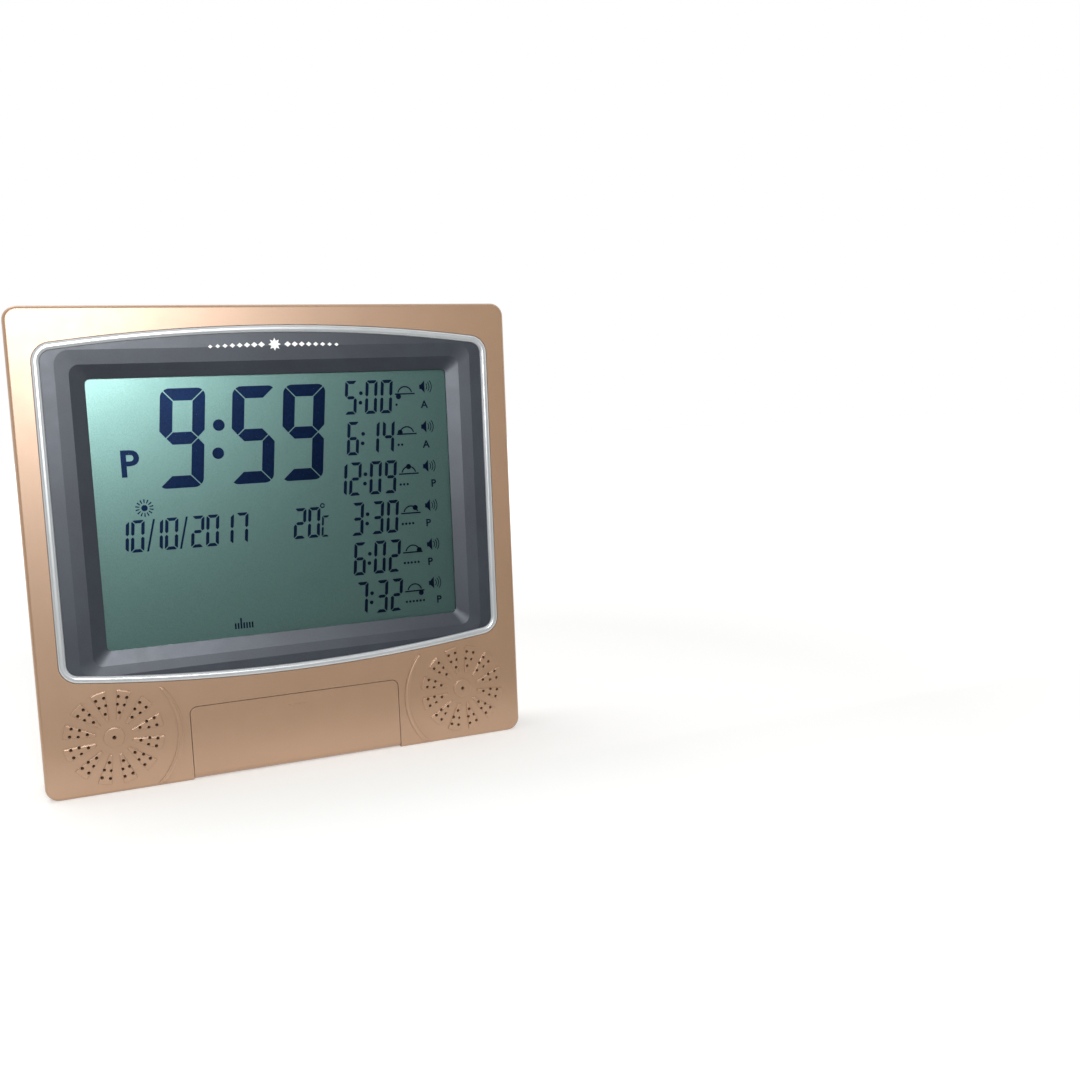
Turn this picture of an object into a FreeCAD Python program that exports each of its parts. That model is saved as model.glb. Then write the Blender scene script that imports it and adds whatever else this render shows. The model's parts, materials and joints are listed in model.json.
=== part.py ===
"""Azan clock: a desk and wall clock with a large display, two speakers and a key door.

Frame: X to the viewer's right, Y to the back, Z up, millimetres.
The origin is at the middle of the clock's box, on the surface it stands on.
Depths are counted from the flat face of the front panel towards the back.
"""
import FreeCAD, Part
import math
import os

from FreeCAD import Vector

# Overall size
PANEL_WIDTH = 236.0
PANEL_HEIGHT = 225.5
CLOCK_DEPTH = 36.0

# Clearances
MOULDING_GAP = 0.1
SEAT_GAP = 0.2
CUT_OVERRUN = 1.0

# Small allowances and details
FUSE_OVERLAP = 0.5
FULL_ROUND_LEFT = 0.1
OPENING_REACH = 10.0
SCREW_TIP_ROOM = 1.0
CLAMP_HOLE_START = 0.4
CLAMP_TIP_START = 0.6
REFLECTOR_INSET = 1.0
SCREW_CROSS_REACH = 0.6
SCREW_CROSS_HALF = 0.12
CAPACITOR_ROUND = 0.5
KEY_ROUND = 0.6
KEYPAD_CORNER = 2.0
KEYPAD_TIP_GAP = 0.3
LEG_LIP_GAP = 0.3
BASKET_OVERLAP = 0.2
BASKET_SLOTS = 4
BASKET_SLOT_HALF = 6.0
BASKET_SLOT_FRONT = 1.4
BASKET_SLOT_BACK = 1.0
MAGNET_ROUND = 1.0
COIL_TUBE_LENGTH = 3.0
COVER_TAPER_TRIM = 0.1
TONGUE_LAP = 1.0
LEG_FLOOR_LIFT = 0.6
KEYHOLE_POCKET_MARGIN = 1.2
SIDE_RIB_REACH = 4.0
SIDE_CUT_OUTSIDE = 2.0
SIDE_CUT_INSIDE = 4.0
FOOT_ROUND = 1.5
CONTACT_TOP_GAP = 1.0
BATTERY_COVER_CORNER = 0.8
BATTERY_GRIP_DROP = 6.0
BATTERY_GRIP_PITCH = 2.4
BATTERY_GRIP_HALF_LENGTH = 9.0
BATTERY_GRIP_HALF_WIDTH = 0.6
BATTERY_GRIP_DEPTH = 0.6
JACK_END_WALL = 1.0
JACK_PIN_SETBACK = 1.0
PIN_CLEARANCE = 0.05
DOOR_GAP = 0.3

# Front panel moulding
PANEL_WALL = 2.4
PANEL_SKIRT = 7.0
PANEL_CORNER = 6.5
PANEL_EDGE_ROUND = 1.6

# Trim ring: two straight sides, a top and a bottom that bow outwards
RING_SIDE_MARGIN = 10.2
RING_TOP_MARGIN = 9.55
RING_BOTTOM = 47.75
RING_BOW_RADIUS = 778.0
RING_CORNER = 9.0
RING_WIDTH = 3.5
RING_PROUD = 0.9
RING_ROUND = 1.5

# Bezel: dished face, then a sloping well down to the display window
BEZEL_EDGE_DEPTH = 0.4
BEZEL_STEP_DEPTH = 1.0
BEZEL_BACK_DEPTH = 4.8
BEZEL_FLANGE = 2.5
WELL_SIDE_BORDER = 15.2
WELL_TOP_BORDER = 16.6
WELL_BOTTOM_BORDER = 12.7
WELL_CORNER = 4.5
WINDOW_INSET = 6.5
WINDOW_CORNER = 2.5
WINDOW_DEPTH = 3.0
WINDOW_LIP = 0.6
STAKE_RADIUS = 0.9
STAKE_HEAD_RADIUS = 1.5
STAKE_HEAD_HEIGHT = 0.8
STAKE_MARGIN = 36.0

# Display stack
LENS_THICKNESS = 1.2
LENS_MARGIN = 2.6
LCD_MARGIN_SIDE = 3.9
LCD_MARGIN_TOP = 5.6
LCD_MARGIN_BOTTOM = 6.8
LCD_GLASS = 1.1
LCD_LEDGE = 5.0
REFLECTOR_THICKNESS = 0.3
FRAME_BORDER = 5.0
FRAME_DEPTH = 5.6
FRAME_LEDGE = 6.0
STRIP_WIDTH = 2.6
STRIP_END_GAP = 10.0
BOARD_THICKNESS = 1.6
BOARD_SCREW_RADIUS = 1.0
BOARD_SCREW_HEAD = 1.9
BOARD_SCREW_HEAD_HEIGHT = 1.3
BOARD_SCREW_BITE = 2.0

# Parts on the back of the main board
CHIP_SPOTS = ((-30.0, -36.0), (30.0, -36.0))
CHIP_RADIUS = 8.0
CHIP_HEIGHT = 1.6
CAPACITOR_SPOTS = ((-66.0, -46.0), (-66.0, -32.0), (66.0, -46.0))
CAPACITOR_RADIUS = 3.1
CAPACITOR_HEIGHT = 7.0
CRYSTAL_SPOT = (0.0, -50.0)
CRYSTAL_HALF = 5.0
CRYSTAL_HEIGHT = 3.4
CRYSTAL_HALF_WIDTH = 2.2

# Speakers and their radial grilles
SPEAKER_SIDE_MARGIN = 31.65
SPEAKER_Z = 26.75
SPEAKER_RADIUS = 22.5
SPEAKER_OPEN_RADIUS = 20.6
SPEAKER_DEPTH = 11.0
SPEAKER_RIM = 1.2
GASKET_THICKNESS = 1.0
MAGNET_RADIUS = 14.5
MAGNET_DEPTH = 8.0
RIM_RECESS = 0.7
RIM_LEDGE = 1.0
CONE_WALL = 0.5
CONE_DEPTH = 5.4
CONE_ROLL_WIDTH = 2.8
CONE_ROLL_HEIGHT = 0.7
VOICE_CAP_RADIUS = 6.0
VOICE_CAP_RISE = 1.4
CLAMP_OFFSET = 2.7
CLAMP_BOSS_RADIUS = 2.1
CLAMP_HEAD_RADIUS = 3.0
CLAMP_HEAD_HEIGHT = 1.2
CLAMP_SHANK_RADIUS = 0.9
CLAMP_ANGLES = (25.0, 155.0, 205.0, 335.0)
PAD_COUNT = 12
PAD_INNER_RADIUS = 8.5
PAD_OUTER_RADIUS = 22.4
PAD_INNER_HALF = 0.5
PAD_OUTER_HALF = 3.15
PAD_HEIGHT = 0.5
PAD_HOLE_ROWS = ((12.0, 0.0), (15.73, 1.59), (19.41, 1.88))
GRILLE_HOLE_RADIUS = 0.65
HUB_RADIUS = 4.6
HUB_HOLE_RADIUS = 0.8

# Curved ridge between each grille and the door
RIDGE_HEIGHT = 0.6
RIDGE_OUTER_RADIUS = 35.4
RIDGE_INNER_RADIUS = 34.9
RIDGE_OUTER_SHIFT = (-4.0, -1.8)
RIDGE_INNER_SHIFT = (-6.2, -0.4)
RIDGE_TIP_HEIGHT = 20.8
RIDGE_REACH = 13.4

# Key door, hinged along the bottom edge
DOOR_TO_SPEAKER = 34.85
DOOR_TOP = 35.85
DOOR_THICKNESS = 2.2
DOOR_CORNER = 3.2
DOOR_AXIS_HEIGHT = 3.35
DOOR_KNUCKLE_RADIUS = 3.0
DOOR_KNUCKLE_BORE = 1.5
DOOR_PIN_RADIUS = 1.2
DOOR_PIN_LENGTH = 2.2
DOOR_PLUG = 4.0
DOOR_CHEEK = 3.0
DOOR_LATCH_HALF = 5.0
DOOR_LATCH_DEPTH = 2.4
DOOR_LATCH_THICKNESS = 1.2
GRIP_COUNT = 5
GRIP_PITCH = 2.2
GRIP_RADIUS = 0.5
GRIP_HEIGHT = 0.25
GRIP_DROP = 5.4

# Key tray behind the door
TRAY_LEDGE = 2.0
TRAY_WALL = 1.6
TRAY_FLANGE = 3.4
TRAY_TOP_LAP = 2.5
TRAY_KNUCKLE_GAP = 0.6
TRAY_FLOOR_DEPTH = 10.2
TRAY_APRON_DEPTH = 6.4
TRAY_APRON = 1.0
KEY_COLUMNS = 4
KEY_ROWS = 2
KEY_END_MARGIN = 5.4
KEY_PITCH_Z = 11.6
KEY_WIDTH = 13.0
KEY_HEIGHT = 6.4
KEY_CORNER = 1.6
KEY_PROUD = 2.0
KEY_CLEARANCE = 0.2
KEY_RIM = 1.0
KEY_RIM_THICKNESS = 1.0
KEY_STROKE = 0.8
KEYPAD_THICKNESS = 1.0
KEYPAD_DOME_RADIUS = 2.6
KEYPAD_DOME_TIP = 1.8
KEYPAD_DOME_HEIGHT = 1.4
KEYPAD_HALF_HEIGHT = 11.0
KEY_BOARD_HALF_HEIGHT = 11.6
TRAY_POST_RADIUS = 1.9
TRAY_POST_Z = 8.0
TRAY_SCREW_RADIUS = 0.9
TRAY_SCREW_HEAD = 1.8
TRAY_SCREW_HEAD_HEIGHT = 1.2

# Rear cover
COVER_WALL = 2.2
COVER_START = 7.6
COVER_FRONT_INSET = 1.0
COVER_BACK_INSET = 2.5
COVER_CORNER = 8.0
COVER_BACK_ROUND = 1.5
TONGUE_START = 5.2
TONGUE_WALL = 1.2
TONGUE_CUT_HALF = 57.0
CASE_BOSS_RADIUS = 3.0
CASE_BOSS_END = 18.0
CASE_POST_RADIUS = 3.9
CASE_WELL_RADIUS = 2.9
CASE_SEAT_DEPTH = 21.2
CASE_SCREW_RADIUS = 1.25
CASE_SCREW_CLEAR = 1.45
CASE_SCREW_HEAD = 2.5
CASE_SCREW_HEAD_HEIGHT = 1.8
CASE_SCREW_TIP = 9.0
CASE_SCREW_SIDE = 8.5
CASE_SCREW_END = 8.75
CASE_SCREW_TO_DOOR = 6.5
CASE_SCREW_MIDDLE = 42.65

# Keyhole slots for hanging on a wall
KEYHOLE_SPACING = 140.0
KEYHOLE_DROP = 30.75
KEYHOLE_HEAD_RADIUS = 4.2
KEYHOLE_SLOT_RADIUS = 2.1
KEYHOLE_SLOT_LENGTH = 8.0
KEYHOLE_POCKET_DEPTH = 6.0
KEYHOLE_POCKET_WALL = 1.2

# Sound slots behind each speaker
VENT_COUNT = 5
VENT_LENGTH = 26.0
VENT_WIDTH = 1.6
VENT_PITCH = 5.0

# Feet
FOOT_SIDE_MARGIN = 38.0
FOOT_LENGTH = 16.0
FOOT_WIDTH = 7.0
FOOT_DEPTH = 27.0
FOOT_HEIGHT = 2.9
FOOT_RECESS_GAP = 0.1

# Stand leg
LEG_AXIS_HEIGHT = 104.0
LEG_AXIS_INSET = 2.6
LEG_THICKNESS = 3.4
LEG_TOP_HALF = 24.0
LEG_FOOT_HALF = 32.0
LEG_FOOT_HEIGHT = 1.0
LEG_CORNER = 3.0
LEG_OPEN_ANGLE = 16.0
LEG_PIN_RADIUS = 1.3
LEG_PIN_LENGTH = 2.4
LEG_SIDE_GAP = 0.8
LEG_FLOOR_GAP = 1.2
LEG_SLOT_HALF = 9.0
LEG_SLOT_LOW = 30.0
LEG_SLOT_HIGH = 78.0

# Battery bay
CELL_COUNT = 3
CELL_RADIUS = 7.25
CELL_LENGTH = 49.0
CELL_NUB_RADIUS = 2.7
CELL_NUB_LENGTH = 1.2
CELL_PITCH = 15.0
CONTACT_ROOM = 3.9
BAY_MARGIN = 0.4
BAY_WALL = 1.6
BAY_ABOVE_LEG = 16.0
BAY_FLOOR_DEPTH = 18.2
BATTERY_COVER_THICKNESS = 2.0
BATTERY_COVER_LAP = 2.4
BATTERY_COVER_TONGUE = 1.2
BATTERY_TONGUE_HALF = 4.0
BATTERY_TONGUE_REACH = 3.0
CONTACT_THICKNESS = 0.4
CONTACT_HALF = 5.0
CONTACT_DIMPLE_RADIUS = 2.6
CONTACT_SPRING_RADIUS = 4.2
BATTERY_GRIP_COUNT = 4

# Power jack, side buttons and their board
SIDE_DEPTH = 20.0
JACK_HEIGHT = 47.0
JACK_BORE = 3.1
JACK_PIN_RADIUS = 1.0
JACK_WIDTH = 9.0
SIDE_HOLE_RADIUS = 1.6
SIDE_PIN_RADIUS = 1.5
SIDE_BUTTON_HEIGHTS = (32.0, 24.0)
SIDE_BUTTON_RECESS = 0.5
SIDE_RIM_RADIUS = 2.4
SIDE_RIM_THICKNESS = 0.8
SIDE_STROKE = 0.5
SIDE_BOARD_INSET = 10.2
SIDE_BOARD_FRONT = 14.0
SIDE_BOARD_BOTTOM = 15.0
SIDE_BOARD_TOP = 57.0
SIDE_RIB = 1.2
SWITCH_SIZE = 6.0
SWITCH_BODY = 3.4
SWITCH_STEM_RADIUS = 1.2

# Worked out from the sizes above
BAY_HALF_LENGTH = CELL_LENGTH / 2 + CONTACT_ROOM
HALF_WIDTH = PANEL_WIDTH / 2
FACE_Y = RING_PROUD - CLOCK_DEPTH / 2
BACK_DEPTH = CLOCK_DEPTH - RING_PROUD
COVER_INNER_DEPTH = BACK_DEPTH - COVER_WALL
RING_HALF_WIDTH = HALF_WIDTH - RING_SIDE_MARGIN
RING_TOP = PANEL_HEIGHT - RING_TOP_MARGIN
WELL_HALF_WIDTH = RING_HALF_WIDTH - WELL_SIDE_BORDER
WELL_TOP = RING_TOP - WELL_TOP_BORDER
WELL_BOTTOM = RING_BOTTOM + WELL_BOTTOM_BORDER
WINDOW_HALF_WIDTH = WELL_HALF_WIDTH - WINDOW_INSET
WINDOW_TOP = WELL_TOP - WINDOW_INSET
WINDOW_BOTTOM = WELL_BOTTOM + WINDOW_INSET
LENS_DEPTH = WINDOW_DEPTH + WINDOW_LIP
LCD_DEPTH = BEZEL_BACK_DEPTH + MOULDING_GAP
LCD_HALF_WIDTH = WINDOW_HALF_WIDTH + LCD_MARGIN_SIDE
LCD_TOP = WINDOW_TOP + LCD_MARGIN_TOP
LCD_BOTTOM = WINDOW_BOTTOM - LCD_MARGIN_BOTTOM
LCD_REAR_DEPTH = LCD_DEPTH + LCD_GLASS
LCD_BACK_DEPTH = LCD_REAR_DEPTH + LCD_GLASS
FRAME_HALF_WIDTH = LCD_HALF_WIDTH + FRAME_BORDER
FRAME_TOP = LCD_TOP + FRAME_BORDER
FRAME_BOTTOM = LCD_BOTTOM - FRAME_BORDER
BOARD_MIDDLE = (FRAME_TOP + FRAME_BOTTOM) / 2
BOARD_DEPTH = BEZEL_BACK_DEPTH + FRAME_DEPTH
BOARD_BACK_DEPTH = BOARD_DEPTH + BOARD_THICKNESS
SPEAKER_X = HALF_WIDTH - SPEAKER_SIDE_MARGIN
SPEAKER_FRONT_DEPTH = PANEL_WALL + GASKET_THICKNESS
SPEAKER_RIM_BACK = SPEAKER_FRONT_DEPTH + SPEAKER_RIM
SPEAKER_BACK_DEPTH = SPEAKER_FRONT_DEPTH + SPEAKER_DEPTH
DOOR_HALF_WIDTH = SPEAKER_X - DOOR_TO_SPEAKER
DOOR_AXIS_DEPTH = DOOR_KNUCKLE_RADIUS
TRAY_HALF_WIDTH = DOOR_HALF_WIDTH - TRAY_LEDGE
TRAY_TOP = DOOR_TOP - TRAY_LEDGE
TRAY_BOTTOM = DOOR_AXIS_HEIGHT + DOOR_KNUCKLE_RADIUS + TRAY_KNUCKLE_GAP + TRAY_WALL
TRAY_POST_X = TRAY_HALF_WIDTH - TRAY_POST_RADIUS
KEY_PITCH_X = (2 * (TRAY_HALF_WIDTH - KEY_END_MARGIN) - KEY_WIDTH) / (KEY_COLUMNS - 1)
KEYPAD_HALF_WIDTH = TRAY_HALF_WIDTH - KEY_END_MARGIN + KEY_RIM
KEY_BOARD_HALF_WIDTH = TRAY_HALF_WIDTH + TRAY_WALL
TRAY_FLOOR_BACK = TRAY_FLOOR_DEPTH + TRAY_WALL
TRAY_WALL_END = TRAY_FLOOR_DEPTH - SEAT_GAP
TRAY_MIDDLE = (TRAY_BOTTOM + TRAY_TOP) / 2
KEY_RIM_FRONT = TRAY_FLOOR_BACK + SEAT_GAP
KEY_BACK_DEPTH = KEY_RIM_FRONT + KEY_RIM_THICKNESS
KEYPAD_TIP_DEPTH = KEY_BACK_DEPTH + KEY_STROKE + KEYPAD_TIP_GAP
KEYPAD_DEPTH = KEYPAD_TIP_DEPTH + KEYPAD_DOME_HEIGHT
KEY_BOARD_DEPTH = KEYPAD_DEPTH + KEYPAD_THICKNESS
KEY_BOARD_BACK = KEY_BOARD_DEPTH + BOARD_THICKNESS
LEG_AXIS_DEPTH = BACK_DEPTH - LEG_AXIS_INSET
LEG_RECESS_DEPTH = LEG_AXIS_INSET + LEG_THICKNESS / 2 + LEG_FLOOR_GAP
LEG_OPEN_RADIANS = math.radians(LEG_OPEN_ANGLE)
LEG_SWING_ROOM = LEG_THICKNESS / 2 * (1 - math.cos(LEG_OPEN_RADIANS)) + LEG_FLOOR_GAP
LEG_LIP = LEG_SWING_ROOM / math.sin(LEG_OPEN_RADIANS) - LEG_LIP_GAP
BAY_BOTTOM = LEG_AXIS_HEIGHT + BAY_ABOVE_LEG
BAY_HALF_PITCH = CELL_RADIUS + BAY_MARGIN
BAY_TOP = BAY_BOTTOM + (CELL_COUNT - 1) * CELL_PITCH + 2 * BAY_HALF_PITCH
CELL_DEPTH = BAY_FLOOR_DEPTH + SEAT_GAP + CELL_RADIUS
KEYHOLE_Z = PANEL_HEIGHT - KEYHOLE_DROP
FOOT_X = HALF_WIDTH - FOOT_SIDE_MARGIN
CASE_SCREW_X = HALF_WIDTH - CASE_SCREW_SIDE
CASE_SCREW_DOOR_X = DOOR_HALF_WIDTH + CASE_SCREW_TO_DOOR
CASE_SCREW_SPOTS = tuple(
    (side * x, z)
    for x, z in (
        (CASE_SCREW_X, PANEL_HEIGHT - CASE_SCREW_END),
        (CASE_SCREW_DOOR_X, CASE_SCREW_MIDDLE),
        (CASE_SCREW_X, CASE_SCREW_END),
    )
    for side in (-1, 1)
)


def y_at(depth):
    """Y of a depth behind the panel's face."""
    return FACE_Y + depth


def box(x0, x1, d0, d1, z0, z1):
    """Block between two X, two depths and two Z."""
    return Part.makeBox(x1 - x0, d1 - d0, z1 - z0, Vector(x0, y_at(d0), z0))


def rod_y(x, z, radius, d0, d1, end_radius=None):
    """Round bar, or a cone, that runs front to back."""
    base = Vector(x, y_at(d0), z)
    if end_radius is None or abs(end_radius - radius) < 1e-6:
        return Part.makeCylinder(radius, d1 - d0, base, Vector(0, 1, 0))
    return Part.makeCone(radius, end_radius, d1 - d0, base, Vector(0, 1, 0))


def rod_x(depth, z, radius, x0, x1):
    """Round bar that runs along X."""
    return Part.makeCylinder(radius, x1 - x0, Vector(x0, y_at(depth), z), Vector(1, 0, 0))


def fillet_y_edges(solid, radius):
    """Round the edges that run front to back."""
    edges = []
    for edge in solid.Edges:
        start = edge.Vertexes[0].Point
        end = edge.Vertexes[-1].Point
        if abs(start.x - end.x) < 1e-6 and abs(start.z - end.z) < 1e-6 and abs(start.y - end.y) > 1e-6:
            edges.append(edge)
    return solid.makeFillet(radius, edges)


def fillet_rim(solid, depth, radius):
    """Round the edges that lie flat at one depth."""
    edges = []
    for edge in solid.Edges:
        bounds = edge.BoundBox
        if abs(bounds.YMin - y_at(depth)) < 1e-4 and abs(bounds.YMax - y_at(depth)) < 1e-4:
            edges.append(edge)
    return solid.makeFillet(radius, edges)


def rounded_block(x0, x1, d0, d1, z0, z1, radius):
    """Block with round corners as seen from the front."""
    return fillet_y_edges(box(x0, x1, d0, d1, z0, z1), radius)


def rounded_rectangle(x0, x1, z0, z1, radius, depth):
    """Closed wire of four lines and four arcs, in one order for every size."""
    y = y_at(depth)
    corners = (
        (x1 - radius, z1 - radius, 0.0),
        (x0 + radius, z1 - radius, 90.0),
        (x0 + radius, z0 + radius, 180.0),
        (x1 - radius, z0 + radius, 270.0),
    )
    arcs = []
    for x, z, start in corners:
        points = []
        for step in (0.0, 45.0, 90.0):
            angle = math.radians(start + step)
            points.append(Vector(x + radius * math.cos(angle), y, z + radius * math.sin(angle)))
        arcs.append(points)
    edges = []
    for index, points in enumerate(arcs):
        edges.append(Part.Arc(*points).toShape())
        following = arcs[(index + 1) % len(arcs)]
        edges.append(Part.LineSegment(points[2], following[0]).toShape())
    return Part.Wire(edges)


def bowed_solid(grow, d0, d1):
    """Display outline with straight sides and bowed top and bottom, grown by a margin."""
    half = RING_HALF_WIDTH + grow
    bow = RING_BOW_RADIUS + grow
    top = RING_TOP + grow
    bottom = RING_BOTTOM - grow
    sag = bow - math.sqrt(bow * bow - half * half)
    y = y_at(d0)
    top_left = Vector(-half, y, top - sag)
    top_right = Vector(half, y, top - sag)
    bottom_left = Vector(-half, y, bottom + sag)
    bottom_right = Vector(half, y, bottom + sag)
    edges = [
        Part.Arc(top_left, Vector(0, y, top), top_right).toShape(),
        Part.LineSegment(top_right, bottom_right).toShape(),
        Part.Arc(bottom_right, Vector(0, y, bottom), bottom_left).toShape(),
        Part.LineSegment(bottom_left, top_left).toShape(),
    ]
    face = Part.Face(Part.Wire(edges))
    solid = face.extrude(Vector(0, d1 - d0, 0))
    return fillet_y_edges(solid, RING_CORNER + grow)


def mirror_x(shape):
    """The same shape on the other side of the clock."""
    return shape.mirror(Vector(0, 0, 0), Vector(1, 0, 0))


def keep(shape):
    """One clean solid, or a group of separate solids."""
    cleaned = shape.removeSplitter()
    if len(cleaned.Solids) == 1:
        return cleaned.Solids[0]
    return Part.makeCompound(cleaned.Solids)


def grille_pads(center_x):
    """Raised wedge pads and the raised hub of one grille, before its holes."""
    center_z = SPEAKER_Z
    pads = [rod_y(center_x, center_z, HUB_RADIUS, -PAD_HEIGHT, PANEL_WALL / 2)]
    y = y_at(-PAD_HEIGHT)
    reach = math.sqrt(PAD_OUTER_RADIUS ** 2 - PAD_OUTER_HALF ** 2)
    for index in range(PAD_COUNT):
        inner_low = Vector(PAD_INNER_RADIUS, y, -PAD_INNER_HALF)
        outer_low = Vector(reach, y, -PAD_OUTER_HALF)
        outer_mid = Vector(PAD_OUTER_RADIUS, y, 0)
        outer_high = Vector(reach, y, PAD_OUTER_HALF)
        inner_high = Vector(PAD_INNER_RADIUS, y, PAD_INNER_HALF)
        wire = Part.Wire([
            Part.LineSegment(inner_low, outer_low).toShape(),
            Part.Arc(outer_low, outer_mid, outer_high).toShape(),
            Part.LineSegment(outer_high, inner_high).toShape(),
            Part.LineSegment(inner_high, inner_low).toShape(),
        ])
        pad = Part.Face(wire).extrude(Vector(0, PAD_HEIGHT + PANEL_WALL / 2, 0))
        angle = (index + 0.5) * 360.0 / PAD_COUNT
        pad.rotate(Vector(0, 0, 0), Vector(0, -1, 0), angle)
        pad.translate(Vector(center_x, 0, center_z))
        pads.append(pad)
    return pads


def grille_holes(center_x):
    """Sound holes of one grille: one, two and two in each pad, and one in the hub."""
    center_z = SPEAKER_Z
    front = -PAD_HEIGHT - CUT_OVERRUN
    back = PANEL_WALL + CUT_OVERRUN
    holes = [rod_y(center_x, center_z, HUB_HOLE_RADIUS, front, back)]
    for index in range(PAD_COUNT):
        angle = math.radians((index + 0.5) * 360.0 / PAD_COUNT)
        for radius, side in PAD_HOLE_ROWS:
            for offset in sorted({-side, side}):
                x = center_x + radius * math.cos(angle) - offset * math.sin(angle)
                z = center_z + radius * math.sin(angle) + offset * math.cos(angle)
                holes.append(rod_y(x, z, GRILLE_HOLE_RADIUS, front, back))
    return holes


def ridge():
    """Crescent ridge of the left grille, cut from two nearly equal discs."""
    center_x = -SPEAKER_X
    center_z = SPEAKER_Z
    outer = rod_y(center_x + RIDGE_OUTER_SHIFT[0], center_z + RIDGE_OUTER_SHIFT[1],
                  RIDGE_OUTER_RADIUS, -RIDGE_HEIGHT, PANEL_WALL / 2)
    inner = rod_y(center_x + RIDGE_INNER_SHIFT[0], center_z + RIDGE_INNER_SHIFT[1],
                  RIDGE_INNER_RADIUS, -RIDGE_HEIGHT - CUT_OVERRUN, PANEL_WALL)
    left = center_x + RIDGE_REACH
    window = box(left, 0.0, -RIDGE_HEIGHT, PANEL_WALL / 2,
                 PANEL_EDGE_ROUND, center_z + RIDGE_TIP_HEIGHT)
    return outer.cut(inner).common(window)


def clamp_spots():
    """Places of the screws that clamp both speakers."""
    spots = []
    reach = SPEAKER_RADIUS + CLAMP_OFFSET
    for center_x in (-SPEAKER_X, SPEAKER_X):
        for degrees in CLAMP_ANGLES:
            angle = math.radians(degrees)
            spots.append((center_x + reach * math.cos(angle), SPEAKER_Z + reach * math.sin(angle)))
    return spots


def stake_spots():
    """Places of the melted stakes that hold the bezel's flange."""
    x = RING_HALF_WIDTH + MOULDING_GAP + BEZEL_FLANGE / 2 + STAKE_RADIUS / 4
    low = RING_BOTTOM + STAKE_MARGIN
    high = RING_TOP - STAKE_MARGIN
    return [(side * x, z) for side in (-1, 1) for z in (low, (low + high) / 2, high)]


def front_panel():
    """Gold front moulding: face, skirt, openings, grilles, ridges, bosses and door cheeks."""
    shell = rounded_block(-HALF_WIDTH, HALF_WIDTH, 0.0, PANEL_SKIRT, 0.0, PANEL_HEIGHT, PANEL_CORNER)
    shell = fillet_rim(shell, 0.0, PANEL_EDGE_ROUND)
    hollow = rounded_block(-HALF_WIDTH + PANEL_WALL, HALF_WIDTH - PANEL_WALL,
                           PANEL_WALL, PANEL_SKIRT + CUT_OVERRUN,
                           PANEL_WALL, PANEL_HEIGHT - PANEL_WALL, PANEL_CORNER - PANEL_WALL)
    shell = shell.cut(hollow)
    extras = []
    for x, z in CASE_SCREW_SPOTS:
        extras.append(rod_y(x, z, CASE_BOSS_RADIUS, PANEL_WALL / 2, CASE_BOSS_END))
    for x, z in clamp_spots():
        extras.append(rod_y(x, z, CLAMP_BOSS_RADIUS, PANEL_WALL / 2, SPEAKER_RIM_BACK))
    for x, z in stake_spots():
        extras.append(rod_y(x, z, STAKE_RADIUS, PANEL_WALL / 2, BEZEL_BACK_DEPTH + MOULDING_GAP))
        extras.append(rod_y(x, z, STAKE_HEAD_RADIUS, BEZEL_BACK_DEPTH + MOULDING_GAP,
                            BEZEL_BACK_DEPTH + MOULDING_GAP + STAKE_HEAD_HEIGHT, STAKE_RADIUS))
    cheek_x = DOOR_HALF_WIDTH + DOOR_GAP
    cheek_size = DOOR_KNUCKLE_RADIUS * 2
    for side in (-1, 1):
        ends = sorted((side * cheek_x, side * (cheek_x + DOOR_CHEEK)))
        extras.append(box(ends[0], ends[1], PANEL_WALL / 2, cheek_size, PANEL_WALL / 2, cheek_size))
    left_ridge = ridge()
    extras.append(left_ridge)
    extras.append(mirror_x(left_ridge))
    for center_x in (-SPEAKER_X, SPEAKER_X):
        extras.extend(grille_pads(center_x))
    shell = shell.multiFuse(extras)
    cuts = [bowed_solid(MOULDING_GAP, -CUT_OVERRUN, PANEL_WALL + CUT_OVERRUN / 2)]
    opening = rounded_block(-cheek_x, cheek_x, -CUT_OVERRUN, PANEL_SKIRT + CUT_OVERRUN,
                            -OPENING_REACH, DOOR_TOP + DOOR_GAP, DOOR_CORNER + DOOR_GAP)
    cuts.append(opening)
    pin_hole = DOOR_PIN_RADIUS + PIN_CLEARANCE
    pin_reach = cheek_x + DOOR_PIN_LENGTH + SEAT_GAP
    cuts.append(rod_x(DOOR_AXIS_DEPTH, DOOR_AXIS_HEIGHT, pin_hole, -pin_reach, pin_reach))
    for x, z in CASE_SCREW_SPOTS:
        cuts.append(rod_y(x, z, CASE_SCREW_RADIUS + PIN_CLEARANCE,
                          CASE_SCREW_TIP - SCREW_TIP_ROOM, CASE_BOSS_END + CUT_OVERRUN))
    for x, z in clamp_spots():
        cuts.append(rod_y(x, z, CLAMP_SHANK_RADIUS + PIN_CLEARANCE,
                          PANEL_WALL / 2 + CLAMP_HOLE_START, SPEAKER_RIM_BACK + CUT_OVERRUN))
    for center_x in (-SPEAKER_X, SPEAKER_X):
        cuts.extend(grille_holes(center_x))
    return keep(shell.cut(cuts))


def trim_ring():
    """Silver ring with a rounded crest, seated on the bezel's flange."""
    outer = bowed_solid(0.0, -RING_PROUD, PANEL_WALL)
    inner = bowed_solid(-RING_WIDTH, -RING_PROUD - CUT_OVERRUN, PANEL_WALL + CUT_OVERRUN)
    return keep(fillet_rim(outer.cut(inner), -RING_PROUD, RING_ROUND))


def well_wire(inset, radius, depth):
    """Outline of the well at one depth."""
    return rounded_rectangle(-WELL_HALF_WIDTH + inset, WELL_HALF_WIDTH - inset,
                             WELL_BOTTOM + inset, WELL_TOP - inset, radius, depth)


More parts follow.
